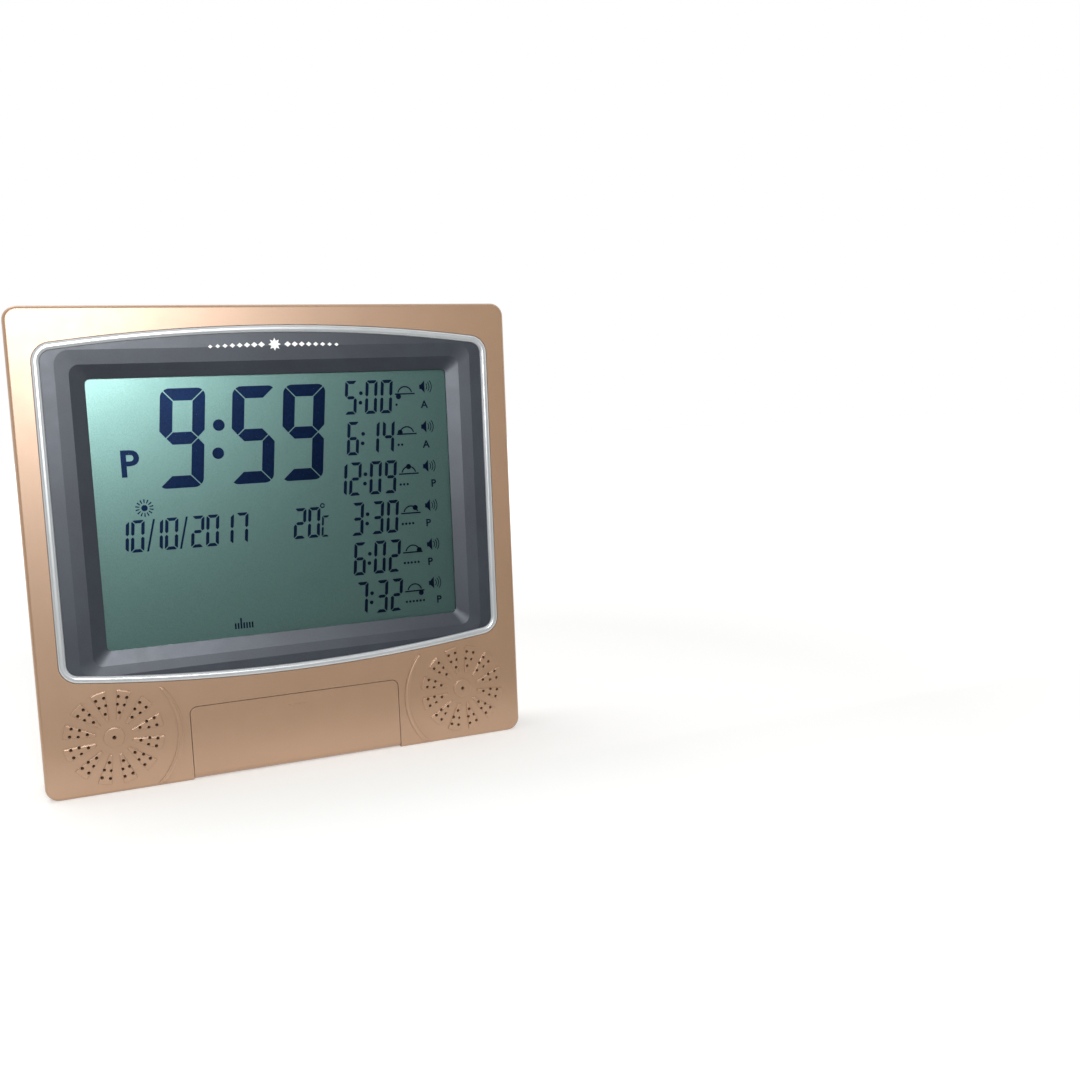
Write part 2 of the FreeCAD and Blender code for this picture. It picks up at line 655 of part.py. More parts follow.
def dark_bezel():
    """Dark face inside the ring: dished border, sloping well, window, and a flange behind the panel."""
    body = bowed_solid(-RING_WIDTH - MOULDING_GAP, BEZEL_EDGE_DEPTH, BEZEL_BACK_DEPTH)
    flange = bowed_solid(MOULDING_GAP + BEZEL_FLANGE, PANEL_WALL, BEZEL_BACK_DEPTH)
    bezel = body.fuse(flange)
    rise = BEZEL_STEP_DEPTH - BEZEL_EDGE_DEPTH
    edge_half = RING_HALF_WIDTH - RING_WIDTH
    dish_outer = rounded_rectangle(-edge_half, edge_half, RING_BOTTOM + RING_WIDTH,
                                   RING_TOP - RING_WIDTH, RING_CORNER, BEZEL_EDGE_DEPTH - rise)
    dish_inner = well_wire(0.0, WELL_CORNER, BEZEL_STEP_DEPTH)
    dish = Part.makeLoft([dish_outer, dish_inner], True, True)
    well = Part.makeLoft([well_wire(0.0, WELL_CORNER, BEZEL_STEP_DEPTH - 0.01),
                          well_wire(WINDOW_INSET, WINDOW_CORNER, WINDOW_DEPTH)], True, True)
    window = rounded_block(-WINDOW_HALF_WIDTH, WINDOW_HALF_WIDTH, BEZEL_EDGE_DEPTH - CUT_OVERRUN,
                           BEZEL_BACK_DEPTH + CUT_OVERRUN, WINDOW_BOTTOM, WINDOW_TOP, WINDOW_CORNER)
    seat = LENS_MARGIN + MOULDING_GAP
    lens_seat = box(-WINDOW_HALF_WIDTH - seat, WINDOW_HALF_WIDTH + seat, LENS_DEPTH,
                    BEZEL_BACK_DEPTH + CUT_OVERRUN, WINDOW_BOTTOM - seat, WINDOW_TOP + seat)
    cuts = [dish, well, window, lens_seat]
    for x, z in stake_spots():
        cuts.append(rod_y(x, z, STAKE_RADIUS + MOULDING_GAP,
                          PANEL_WALL - CUT_OVERRUN, BEZEL_BACK_DEPTH + CUT_OVERRUN))
    for x, z in board_screw_spots():
        cuts.append(rod_y(x, z, BOARD_SCREW_RADIUS + PIN_CLEARANCE,
                          BEZEL_BACK_DEPTH - BOARD_SCREW_BITE - SEAT_GAP,
                          BEZEL_BACK_DEPTH + CUT_OVERRUN))
    return keep(bezel.cut(cuts))


def display_lens():
    """Clear sheet behind the window."""
    return box(-WINDOW_HALF_WIDTH - LENS_MARGIN, WINDOW_HALF_WIDTH + LENS_MARGIN,
               LENS_DEPTH, LENS_DEPTH + LENS_THICKNESS,
               WINDOW_BOTTOM - LENS_MARGIN, WINDOW_TOP + LENS_MARGIN)


def lcd_panel():
    """Two glass sheets: the front one has a contact ledge at the top and the bottom."""
    front = box(-LCD_HALF_WIDTH, LCD_HALF_WIDTH, LCD_DEPTH, LCD_REAR_DEPTH, LCD_BOTTOM, LCD_TOP)
    rear = box(-LCD_HALF_WIDTH, LCD_HALF_WIDTH, LCD_REAR_DEPTH, LCD_BACK_DEPTH,
               LCD_BOTTOM + LCD_LEDGE, LCD_TOP - LCD_LEDGE)
    return keep(front.fuse(rear))


def lcd_reflector():
    """Pale sheet on the back of the glass."""
    return box(-LCD_HALF_WIDTH + REFLECTOR_INSET, LCD_HALF_WIDTH - REFLECTOR_INSET,
               LCD_BACK_DEPTH, LCD_BACK_DEPTH + REFLECTOR_THICKNESS,
               LCD_BOTTOM + LCD_LEDGE + REFLECTOR_INSET, LCD_TOP - LCD_LEDGE - REFLECTOR_INSET)


def board_screw_spots():
    """Screws in the middle of the LCD frame's top and bottom border."""
    x = LCD_HALF_WIDTH + FRAME_BORDER / 2
    heights = (FRAME_BOTTOM + FRAME_BORDER / 2, FRAME_TOP - FRAME_BORDER / 2)
    return [(side * x, z) for side in (-1, 0, 1) for z in heights]


def lcd_frame():
    """Frame that holds the glass against the bezel and carries the main board."""
    outer = rounded_block(-FRAME_HALF_WIDTH, FRAME_HALF_WIDTH, BEZEL_BACK_DEPTH, BOARD_DEPTH,
                          FRAME_BOTTOM, FRAME_TOP, FRAME_BORDER / 2)
    pocket = box(-LCD_HALF_WIDTH - SEAT_GAP, LCD_HALF_WIDTH + SEAT_GAP, BEZEL_BACK_DEPTH - CUT_OVERRUN,
                 LCD_BACK_DEPTH + REFLECTOR_THICKNESS + MOULDING_GAP,
                 LCD_BOTTOM - SEAT_GAP, LCD_TOP + SEAT_GAP)
    back = box(-LCD_HALF_WIDTH + FRAME_LEDGE, LCD_HALF_WIDTH - FRAME_LEDGE,
               BEZEL_BACK_DEPTH, BOARD_DEPTH + CUT_OVERRUN, LCD_BOTTOM - SEAT_GAP, LCD_TOP + SEAT_GAP)
    cuts = [pocket, back]
    for x, z in board_screw_spots():
        cuts.append(rod_y(x, z, BOARD_SCREW_RADIUS + PIN_CLEARANCE,
                          BEZEL_BACK_DEPTH - CUT_OVERRUN, BOARD_DEPTH + CUT_OVERRUN))
    return keep(outer.cut(cuts))


def contact_strips():
    """Two rubber strips that join the glass ledges to the board."""
    strips = []
    half = LCD_HALF_WIDTH - STRIP_END_GAP
    low = LCD_BOTTOM + (LCD_LEDGE - STRIP_WIDTH) / 2
    high = LCD_TOP - (LCD_LEDGE + STRIP_WIDTH) / 2
    for z in (low, high):
        strips.append(box(-half, half, LCD_REAR_DEPTH, BOARD_DEPTH, z, z + STRIP_WIDTH))
    return Part.makeCompound(strips)


def main_board():
    """Main circuit board, behind the LCD frame."""
    board = rounded_block(-FRAME_HALF_WIDTH, FRAME_HALF_WIDTH, BOARD_DEPTH, BOARD_BACK_DEPTH,
                          FRAME_BOTTOM, FRAME_TOP, FRAME_BORDER / 2)
    holes = []
    for x, z in board_screw_spots():
        holes.append(rod_y(x, z, BOARD_SCREW_RADIUS + PIN_CLEARANCE,
                           BOARD_DEPTH - CUT_OVERRUN, BOARD_BACK_DEPTH + CUT_OVERRUN))
    return keep(board.cut(holes))


def screw(x, z, head_radius, head_height, seat_depth, shank_radius, tip_depth):
    """Screw that is driven from the back: a domed head and a shank with a short point."""
    head = rod_y(x, z, head_radius, seat_depth, seat_depth + head_height)
    head = fillet_rim(head, seat_depth + head_height, head_height / 2)
    point = shank_radius
    shank = rod_y(x, z, shank_radius, tip_depth + point, seat_depth + head_height / 4)
    tip = rod_y(x, z, shank_radius / 3, tip_depth, tip_depth + point, shank_radius)
    reach = head_radius * SCREW_CROSS_REACH
    half = head_radius * SCREW_CROSS_HALF
    bottom = seat_depth + head_height / 2
    above = seat_depth + head_height + CUT_OVERRUN
    slot = box(x - reach, x + reach, bottom, above, z - half, z + half)
    cross = box(x - half, x + half, bottom, above, z - reach, z + reach)
    return keep(head.multiFuse([shank, tip]).cut([slot, cross]))


def board_screws():
    """Screws through the main board and the LCD frame into the bezel."""
    return Part.makeCompound([
        screw(x, z, BOARD_SCREW_HEAD, BOARD_SCREW_HEAD_HEIGHT, BOARD_BACK_DEPTH,
              BOARD_SCREW_RADIUS, BEZEL_BACK_DEPTH - BOARD_SCREW_BITE)
        for x, z in board_screw_spots()])


def chip_covers():
    """Resin domes over the bonded chips."""
    domes = []
    sphere = (CHIP_RADIUS ** 2 + CHIP_HEIGHT ** 2) / (2 * CHIP_HEIGHT)
    for x, rise in CHIP_SPOTS:
        z = BOARD_MIDDLE + rise
        ball = Part.makeSphere(sphere, Vector(x, y_at(BOARD_BACK_DEPTH) + CHIP_HEIGHT - sphere, z))
        cap = rod_y(x, z, CHIP_RADIUS * 1.2, BOARD_BACK_DEPTH, BOARD_BACK_DEPTH + CHIP_HEIGHT * 2)
        domes.append(ball.common(cap).Solids[0])
    return Part.makeCompound(domes)


def capacitors():
    """Upright round capacitors on the main board."""
    cans = []
    for x, rise in CAPACITOR_SPOTS:
        end = BOARD_BACK_DEPTH + CAPACITOR_HEIGHT
        can = rod_y(x, BOARD_MIDDLE + rise, CAPACITOR_RADIUS, BOARD_BACK_DEPTH, end)
        cans.append(fillet_rim(can, end, CAPACITOR_ROUND).Solids[0])
    return Part.makeCompound(cans)


def quartz_crystal():
    """Flat metal can of the quartz crystal."""
    x, rise = CRYSTAL_SPOT
    z = BOARD_MIDDLE + rise
    return rounded_block(x - CRYSTAL_HALF, x + CRYSTAL_HALF,
                         BOARD_BACK_DEPTH, BOARD_BACK_DEPTH + CRYSTAL_HEIGHT,
                         z - CRYSTAL_HALF_WIDTH, z + CRYSTAL_HALF_WIDTH,
                         CRYSTAL_HALF_WIDTH - FULL_ROUND_LEFT)


def key_door():
    """Door with a rounded knuckle along its bottom edge, two pins, a latch rib and grip marks."""
    axis = DOOR_AXIS_HEIGHT
    top = DOOR_TOP
    plate = rounded_block(-DOOR_HALF_WIDTH, DOOR_HALF_WIDTH, 0.0, DOOR_THICKNESS,
                          axis - OPENING_REACH, top, DOOR_CORNER)
    plate = plate.common(box(-DOOR_HALF_WIDTH, DOOR_HALF_WIDTH, 0.0, DOOR_THICKNESS, axis, top))
    knuckle = rod_x(DOOR_AXIS_DEPTH, axis, DOOR_KNUCKLE_RADIUS, -DOOR_HALF_WIDTH, DOOR_HALF_WIDTH)
    latch = box(-DOOR_LATCH_HALF, DOOR_LATCH_HALF,
                DOOR_THICKNESS - FUSE_OVERLAP, DOOR_THICKNESS + DOOR_LATCH_DEPTH,
                TRAY_TOP - SEAT_GAP - DOOR_LATCH_THICKNESS, TRAY_TOP - SEAT_GAP)
    pin_end = DOOR_HALF_WIDTH + DOOR_GAP + DOOR_PIN_LENGTH
    pins = rod_x(DOOR_AXIS_DEPTH, axis, DOOR_PIN_RADIUS, -pin_end, pin_end)
    marks = []
    for index in range(GRIP_COUNT):
        x = (index - (GRIP_COUNT - 1) / 2) * GRIP_PITCH
        marks.append(rod_y(x, top - GRIP_DROP, GRIP_RADIUS * 0.7, -GRIP_HEIGHT, DOOR_THICKNESS / 2,
                           GRIP_RADIUS))
    bore = rod_x(DOOR_AXIS_DEPTH, axis, DOOR_KNUCKLE_BORE,
                 -DOOR_HALF_WIDTH + DOOR_PLUG, DOOR_HALF_WIDTH - DOOR_PLUG)
    solid = plate.multiFuse([knuckle, latch, pins] + marks)
    return keep(solid.cut(bore))


def key_centers():
    """Row, column and centre of each key."""
    centers = []
    for row in range(KEY_ROWS):
        for column in range(KEY_COLUMNS):
            x = (column - (KEY_COLUMNS - 1) / 2) * KEY_PITCH_X
            z = TRAY_MIDDLE + ((KEY_ROWS - 1) / 2 - row) * KEY_PITCH_Z
            centers.append((row, column, x, z))
    return centers


def tray_post_spots():
    """Posts on the back of the tray that carry the key board."""
    return [(sx * TRAY_POST_X, TRAY_MIDDLE + sz * TRAY_POST_Z) for sx in (-1, 1) for sz in (-1, 1)]


def key_tray():
    """Four walls behind the door, with a flange behind the panel and an apron under the hinge."""
    flange = box(-TRAY_HALF_WIDTH - TRAY_WALL - TRAY_FLANGE, TRAY_HALF_WIDTH + TRAY_WALL + TRAY_FLANGE,
                 PANEL_WALL, PANEL_WALL + TRAY_WALL,
                 TRAY_BOTTOM - TRAY_WALL, DOOR_TOP + TRAY_TOP_LAP)
    walls = box(-TRAY_HALF_WIDTH - TRAY_WALL, TRAY_HALF_WIDTH + TRAY_WALL, PANEL_WALL, TRAY_WALL_END,
                TRAY_BOTTOM - TRAY_WALL, TRAY_TOP + TRAY_WALL)
    apron = box(-TRAY_HALF_WIDTH - TRAY_WALL, TRAY_HALF_WIDTH + TRAY_WALL, TRAY_APRON_DEPTH,
                TRAY_APRON_DEPTH + TRAY_APRON, DOOR_GAP, TRAY_BOTTOM)
    tray = flange.multiFuse([walls, apron])
    hollow = box(-TRAY_HALF_WIDTH, TRAY_HALF_WIDTH,
                 PANEL_WALL - CUT_OVERRUN, TRAY_WALL_END + CUT_OVERRUN, TRAY_BOTTOM, TRAY_TOP)
    return keep(tray.cut(hollow))


def key_plate():
    """Floor of the key tray, with a hole for each key and a post for each screw."""
    plate = box(-TRAY_HALF_WIDTH - TRAY_WALL, TRAY_HALF_WIDTH + TRAY_WALL,
                TRAY_FLOOR_DEPTH, TRAY_FLOOR_BACK,
                TRAY_BOTTOM - TRAY_WALL, TRAY_TOP + TRAY_WALL)
    posts = []
    for x, z in tray_post_spots():
        posts.append(rod_y(x, z, TRAY_POST_RADIUS, TRAY_FLOOR_DEPTH + TRAY_WALL / 2, KEY_BOARD_DEPTH))
    plate = plate.multiFuse(posts)
    cuts = []
    half_x = KEY_WIDTH / 2 + KEY_CLEARANCE
    half_z = KEY_HEIGHT / 2 + KEY_CLEARANCE
    for _, _, x, z in key_centers():
        cuts.append(rounded_block(x - half_x, x + half_x,
                                  TRAY_FLOOR_DEPTH - CUT_OVERRUN, TRAY_FLOOR_BACK + CUT_OVERRUN,
                                  z - half_z, z + half_z, KEY_CORNER + KEY_CLEARANCE))
    for x, z in tray_post_spots():
        cuts.append(rod_y(x, z, TRAY_SCREW_RADIUS + PIN_CLEARANCE,
                          TRAY_FLOOR_BACK, KEY_BOARD_DEPTH + CUT_OVERRUN))
    return keep(plate.cut(cuts))


def setting_key(x, z):
    """Key cap with a soft front edge, and a rim that keeps it behind the tray floor."""
    front = TRAY_FLOOR_DEPTH - KEY_PROUD
    half_x = KEY_WIDTH / 2
    half_z = KEY_HEIGHT / 2
    cap = rounded_block(x - half_x, x + half_x, front, KEY_BACK_DEPTH,
                        z - half_z, z + half_z, KEY_CORNER)
    cap = fillet_rim(cap, front, KEY_ROUND)
    rim = box(x - half_x - KEY_RIM, x + half_x + KEY_RIM, KEY_RIM_FRONT, KEY_BACK_DEPTH,
              z - half_z - KEY_RIM, z + half_z + KEY_RIM)
    return keep(cap.fuse(rim))


def keypad():
    """Rubber sheet with a dome behind each key."""
    sheet = rounded_block(-KEYPAD_HALF_WIDTH, KEYPAD_HALF_WIDTH, KEYPAD_DEPTH, KEY_BOARD_DEPTH,
                          TRAY_MIDDLE - KEYPAD_HALF_HEIGHT, TRAY_MIDDLE + KEYPAD_HALF_HEIGHT,
                          KEYPAD_CORNER)
    domes = []
    for _, _, x, z in key_centers():
        domes.append(rod_y(x, z, KEYPAD_DOME_TIP, KEYPAD_TIP_DEPTH, KEYPAD_DEPTH + KEYPAD_THICKNESS / 2,
                           KEYPAD_DOME_RADIUS))
    return keep(sheet.multiFuse(domes))


def key_board():
    """Small circuit board behind the rubber keypad."""
    half_z = KEY_BOARD_HALF_HEIGHT
    board = box(-KEY_BOARD_HALF_WIDTH, KEY_BOARD_HALF_WIDTH, KEY_BOARD_DEPTH, KEY_BOARD_BACK,
                TRAY_MIDDLE - half_z, TRAY_MIDDLE + half_z)
    holes = []
    for x, z in tray_post_spots():
        holes.append(rod_y(x, z, TRAY_SCREW_RADIUS + PIN_CLEARANCE,
                           KEY_BOARD_DEPTH - CUT_OVERRUN, KEY_BOARD_BACK + CUT_OVERRUN))
    return keep(board.cut(holes))


def key_board_screws():
    """Screws that hold the key board on the tray's posts."""
    return Part.makeCompound([
        screw(x, z, TRAY_SCREW_HEAD, TRAY_SCREW_HEAD_HEIGHT, KEY_BOARD_BACK,
              TRAY_SCREW_RADIUS, TRAY_FLOOR_BACK + SEAT_GAP)
        for x, z in tray_post_spots()])


def speaker_gasket(center_x):
    """Felt ring between the panel and the speaker."""
    z = SPEAKER_Z
    ring = rod_y(center_x, z, SPEAKER_RADIUS, PANEL_WALL, SPEAKER_FRONT_DEPTH)
    return ring.cut(rod_y(center_x, z, SPEAKER_OPEN_RADIUS,
                          PANEL_WALL - CUT_OVERRUN, SPEAKER_FRONT_DEPTH + CUT_OVERRUN))


def speaker_basket(center_x):
    """Pressed steel basket: rim with a recess for the cone's edge, tapered body, four openings."""
    z = SPEAKER_Z
    front = SPEAKER_FRONT_DEPTH
    rim_back = SPEAKER_RIM_BACK
    back = SPEAKER_BACK_DEPTH
    bore = SPEAKER_OPEN_RADIUS - RIM_LEDGE
    rim = rod_y(center_x, z, SPEAKER_RADIUS, front, rim_back)
    body = rod_y(center_x, z, bore + SPEAKER_RIM, rim_back - BASKET_OVERLAP, back, MAGNET_RADIUS)
    recess = rod_y(center_x, z, SPEAKER_OPEN_RADIUS + RIM_LEDGE,
                   front - CUT_OVERRUN, front + RIM_RECESS)
    mouth = rod_y(center_x, z, bore, front - CUT_OVERRUN, rim_back)
    inner = rod_y(center_x, z, bore, rim_back - BASKET_OVERLAP / 2, back - SPEAKER_RIM,
                  MAGNET_RADIUS - SPEAKER_RIM)
    cuts = [recess, mouth, inner]
    for index in range(BASKET_SLOTS):
        slot = box(MAGNET_RADIUS - CUT_OVERRUN, SPEAKER_RADIUS + 2 * CUT_OVERRUN,
                   rim_back + BASKET_SLOT_FRONT, back - SPEAKER_RIM - BASKET_SLOT_BACK,
                   -BASKET_SLOT_HALF, BASKET_SLOT_HALF)
        slot.rotate(Vector(0, 0, 0), Vector(0, -1, 0), (index + 0.5) * 360.0 / BASKET_SLOTS)
        slot.translate(Vector(center_x, 0, z))
        cuts.append(slot)
    return keep(rim.fuse(body).cut(cuts))


def speaker_magnet(center_x):
    """Ring magnet with its steel plates, behind the basket."""
    z = SPEAKER_Z
    magnet = rod_y(center_x, z, MAGNET_RADIUS, SPEAKER_BACK_DEPTH, SPEAKER_BACK_DEPTH + MAGNET_DEPTH)
    return fillet_rim(magnet, SPEAKER_BACK_DEPTH + MAGNET_DEPTH, MAGNET_ROUND).Solids[0]


def speaker_cone(center_x):
    """Paper cone: flat edge in the rim's recess, rolled surround, wall, dust cap and coil tube."""
    z = SPEAKER_Z
    y0 = y_at(SPEAKER_FRONT_DEPTH + RIM_RECESS - CONE_WALL - MOULDING_GAP)
    wall = CONE_WALL
    edge = SPEAKER_OPEN_RADIUS + RIM_LEDGE - MOULDING_GAP
    roll = SPEAKER_OPEN_RADIUS - RIM_LEDGE - MOULDING_GAP
    slope = roll - CONE_ROLL_WIDTH
    throat = VOICE_CAP_RADIUS
    cap = CONE_DEPTH - VOICE_CAP_RISE
    coil_end = CONE_DEPTH + COIL_TUBE_LENGTH
    slanted_wall = wall * 1.4
    points = [
        (edge, 0.0), (roll, 0.0), (roll - CONE_ROLL_WIDTH / 2, -CONE_ROLL_HEIGHT), (slope, 0.0),
        (throat, CONE_DEPTH), (throat / 2, cap + VOICE_CAP_RISE / 4), (0.0, cap),
        (0.0, cap + wall), (throat / 2, cap + wall + VOICE_CAP_RISE / 4), (throat - wall, CONE_DEPTH + wall),
        (throat - wall, coil_end), (throat, coil_end), (throat, CONE_DEPTH + slanted_wall),
        (slope, slanted_wall), (roll - CONE_ROLL_WIDTH / 2, wall - CONE_ROLL_HEIGHT),
        (roll, wall), (edge, wall),
    ]
    corners = [Vector(center_x + radius, y0 + depth, z) for radius, depth in points]
    corners.append(corners[0])
    face = Part.Face(Part.makePolygon(corners))
    return face.revolve(Vector(center_x, 0, z), Vector(0, 1, 0), 360.0).Solids[0]


def speaker_screws():
    """Screws whose heads clamp the speakers' rims."""
    return Part.makeCompound([
        screw(x, z, CLAMP_HEAD_RADIUS, CLAMP_HEAD_HEIGHT, SPEAKER_RIM_BACK,
              CLAMP_SHANK_RADIUS, PANEL_WALL / 2 + CLAMP_TIP_START)
        for x, z in clamp_spots()])


def cover_loft(inset_front, inset_back, d0, d1, shrink):
    """Tapered block of the rear cover between two depths."""
    wires = []
    for inset, depth in ((inset_front, d0), (inset_back, d1)):
        wires.append(rounded_rectangle(-HALF_WIDTH + inset, HALF_WIDTH - inset,
                                       inset, PANEL_HEIGHT - inset, COVER_CORNER - shrink, depth))
    return Part.makeLoft(wires, True, True)


def leg_outline(grow, d0, d1, low):
    """Leg shape between two depths: narrow at the hinge, wide at the foot."""
    y = y_at(d0)
    top = LEG_AXIS_HEIGHT + LEG_LIP + grow
    corners = [
        Vector(-LEG_TOP_HALF - grow, y, top), Vector(LEG_TOP_HALF + grow, y, top),
        Vector(LEG_FOOT_HALF + grow, y, low), Vector(-LEG_FOOT_HALF - grow, y, low),
    ]
    corners.append(corners[0])
    return Part.Face(Part.makePolygon(corners)).extrude(Vector(0, d1 - d0, 0))


def keyhole(x, grow, d0, d1):
    """Keyhole outline: round head and a narrow slot above it."""
    z = KEYHOLE_Z
    head = rod_y(x, z, KEYHOLE_HEAD_RADIUS + grow, d0, d1)
    half = KEYHOLE_SLOT_RADIUS + grow
    slot = box(x - half, x + half, d0, d1, z, z + KEYHOLE_SLOT_LENGTH)
    end = rod_y(x, z + KEYHOLE_SLOT_LENGTH, half, d0, d1)
    return head.multiFuse([slot, end])


def side_x(depth):
    """Outer X of the cover's left wall at one depth."""
    share = (depth - COVER_START) / (BACK_DEPTH - COVER_START)
    return -HALF_WIDTH + COVER_FRONT_INSET + share * (COVER_BACK_INSET - COVER_FRONT_INSET)


def rear_cover():
    """Rear cover: tapered shell with a locating tongue, posts, leg recess, battery bay and keyholes."""
    outer = cover_loft(COVER_FRONT_INSET, COVER_BACK_INSET, COVER_START, BACK_DEPTH, 0.0)
    outer = fillet_rim(outer, BACK_DEPTH, COVER_BACK_ROUND)
    wall = COVER_WALL
    inner = cover_loft(COVER_FRONT_INSET + wall, COVER_BACK_INSET + wall - COVER_TAPER_TRIM,
                       COVER_START - CUT_OVERRUN / 2, COVER_INNER_DEPTH, wall)
    shell = outer.cut(inner)
    tongue_out = PANEL_WALL + MOULDING_GAP
    corner = PANEL_CORNER - PANEL_WALL
    tongue = rounded_block(-HALF_WIDTH + tongue_out, HALF_WIDTH - tongue_out,
                           TONGUE_START, COVER_START + TONGUE_LAP,
                           tongue_out, PANEL_HEIGHT - tongue_out, corner)
    hole = tongue_out + TONGUE_WALL
    tongue = tongue.cut(rounded_block(-HALF_WIDTH + hole, HALF_WIDTH - hole,
                                      TONGUE_START - CUT_OVERRUN, COVER_START + TONGUE_LAP + CUT_OVERRUN,
                                      hole, PANEL_HEIGHT - hole, corner - TONGUE_WALL))
    tongue = tongue.cut(box(-TONGUE_CUT_HALF, TONGUE_CUT_HALF, TONGUE_START - CUT_OVERRUN, COVER_START,
                            0.0, TRAY_BOTTOM))
    solids = [tongue]
    for x, z in CASE_SCREW_SPOTS:
        solids.append(rod_y(x, z, CASE_POST_RADIUS, CASE_BOSS_END + SEAT_GAP, BACK_DEPTH - FUSE_OVERLAP))
    recess_depth = BACK_DEPTH - LEG_RECESS_DEPTH
    solids.append(leg_outline(LEG_SIDE_GAP + wall, recess_depth - wall, BACK_DEPTH - FUSE_OVERLAP,
                              COVER_BACK_INSET + LEG_FLOOR_LIFT))
    for side in (-1, 1):
        x = side * KEYHOLE_SPACING / 2
        solids.append(keyhole(x, KEYHOLE_POCKET_WALL + KEYHOLE_POCKET_MARGIN,
                              COVER_INNER_DEPTH - KEYHOLE_POCKET_DEPTH, COVER_INNER_DEPTH + FUSE_OVERLAP))
    bay_front = BAY_FLOOR_DEPTH - BAY_WALL
    bay_x = BAY_HALF_LENGTH + BAY_WALL
    solids.append(box(-bay_x, bay_x, bay_front, BACK_DEPTH - FUSE_OVERLAP,
                      BAY_BOTTOM - BAY_WALL, BAY_TOP + BAY_WALL))
    lap = BATTERY_COVER_LAP + BAY_WALL
    ledge_depth = BACK_DEPTH - BATTERY_COVER_THICKNESS - MOULDING_GAP
    solids.append(box(-BAY_HALF_LENGTH - lap, BAY_HALF_LENGTH + lap,
                      ledge_depth - BAY_WALL, BACK_DEPTH - FUSE_OVERLAP,
                      BAY_BOTTOM - lap, BAY_TOP + lap))
    board_x = side_x(SIDE_DEPTH) + SIDE_BOARD_INSET
    for x0 in (board_x - SEAT_GAP - SIDE_RIB, board_x + BOARD_THICKNESS + SEAT_GAP):
        solids.append(box(x0, x0 + SIDE_RIB,
                          COVER_INNER_DEPTH - SIDE_RIB_REACH, COVER_INNER_DEPTH + FUSE_OVERLAP,
                          SIDE_BOARD_BOTTOM, SIDE_BOARD_TOP))
    shell = shell.multiFuse(solids)
    cuts = [leg_outline(LEG_SIDE_GAP, recess_depth, BACK_DEPTH + CUT_OVERRUN, -CUT_OVERRUN)]
    pin_reach = LEG_TOP_HALF + LEG_PIN_LENGTH + SEAT_GAP
    cuts.append(rod_x(LEG_AXIS_DEPTH, LEG_AXIS_HEIGHT, LEG_PIN_RADIUS + PIN_CLEARANCE,
                      -pin_reach, pin_reach))
    for x, z in CASE_SCREW_SPOTS:
        cuts.append(rod_y(x, z, CASE_WELL_RADIUS, CASE_SEAT_DEPTH, BACK_DEPTH + CUT_OVERRUN))
        cuts.append(rod_y(x, z, CASE_SCREW_CLEAR,
                          CASE_BOSS_END - CUT_OVERRUN, CASE_SEAT_DEPTH + CUT_OVERRUN))
    for side in (-1, 1):
        x = side * KEYHOLE_SPACING / 2
        cuts.append(keyhole(x, 0.0, COVER_INNER_DEPTH - CUT_OVERRUN / 10, BACK_DEPTH + CUT_OVERRUN))
        cuts.append(keyhole(x, KEYHOLE_POCKET_MARGIN,
                            COVER_INNER_DEPTH - KEYHOLE_POCKET_DEPTH + KEYHOLE_POCKET_WALL,
                            COVER_INNER_DEPTH))
    cuts.append(box(-BAY_HALF_LENGTH, BAY_HALF_LENGTH, BAY_FLOOR_DEPTH, BACK_DEPTH + CUT_OVERRUN,
                    BAY_BOTTOM, BAY_TOP))
    lap = BATTERY_COVER_LAP
    cuts.append(box(-BAY_HALF_LENGTH - lap, BAY_HALF_LENGTH + lap, ledge_depth, BACK_DEPTH + CUT_OVERRUN,
                    BAY_BOTTOM - lap, BAY_TOP + lap))
    outside = side_x(SIDE_DEPTH) - SIDE_CUT_OUTSIDE
    inside = side_x(SIDE_DEPTH) + SIDE_CUT_INSIDE
    cuts.append(rod_x(SIDE_DEPTH, JACK_HEIGHT, JACK_BORE, outside, inside))
    for z in SIDE_BUTTON_HEIGHTS:
        cuts.append(rod_x(SIDE_DEPTH, z, SIDE_HOLE_RADIUS, outside, inside))
    for center_x in (-SPEAKER_X, SPEAKER_X):
        for index in range(VENT_COUNT):
            z = SPEAKER_Z + (index - (VENT_COUNT - 1) / 2) * VENT_PITCH
            cuts.append(rounded_block(center_x - VENT_LENGTH / 2, center_x + VENT_LENGTH / 2,
                                      COVER_INNER_DEPTH - CUT_OVERRUN, BACK_DEPTH + CUT_OVERRUN,
                                      z - VENT_WIDTH / 2, z + VENT_WIDTH / 2,
                                      (VENT_WIDTH - FULL_ROUND_LEFT) / 2))
    for x, z0, z1 in foot_places():
        half = FOOT_LENGTH / 2 + FOOT_RECESS_GAP
        cuts.append(box(x - half, x + half, FOOT_DEPTH - FOOT_WIDTH / 2 - FOOT_RECESS_GAP,
                        FOOT_DEPTH + FOOT_WIDTH / 2 + FOOT_RECESS_GAP, z0 - CUT_OVERRUN, z1))
    return keep(shell.cut(cuts))


def foot_places():
    """X, bottom and top of each rubber foot."""
    return [(side * FOOT_X, 0.0, FOOT_HEIGHT) for side in (-1, 1)]


def rubber_feet():
    """Two rubber pads under the back of the clock."""
    feet = []
    for x, z0, z1 in foot_places():
        foot = box(x - FOOT_LENGTH / 2, x + FOOT_LENGTH / 2, FOOT_DEPTH - FOOT_WIDTH / 2,
                   FOOT_DEPTH + FOOT_WIDTH / 2, z0, z1)
        edges = [edge for edge in foot.Edges
                 if abs(edge.BoundBox.XLength) < 1e-6 and abs(edge.BoundBox.YLength) < 1e-6]
        feet.append(foot.makeFillet(FOOT_ROUND, edges).Solids[0])
    return Part.makeCompound(feet)


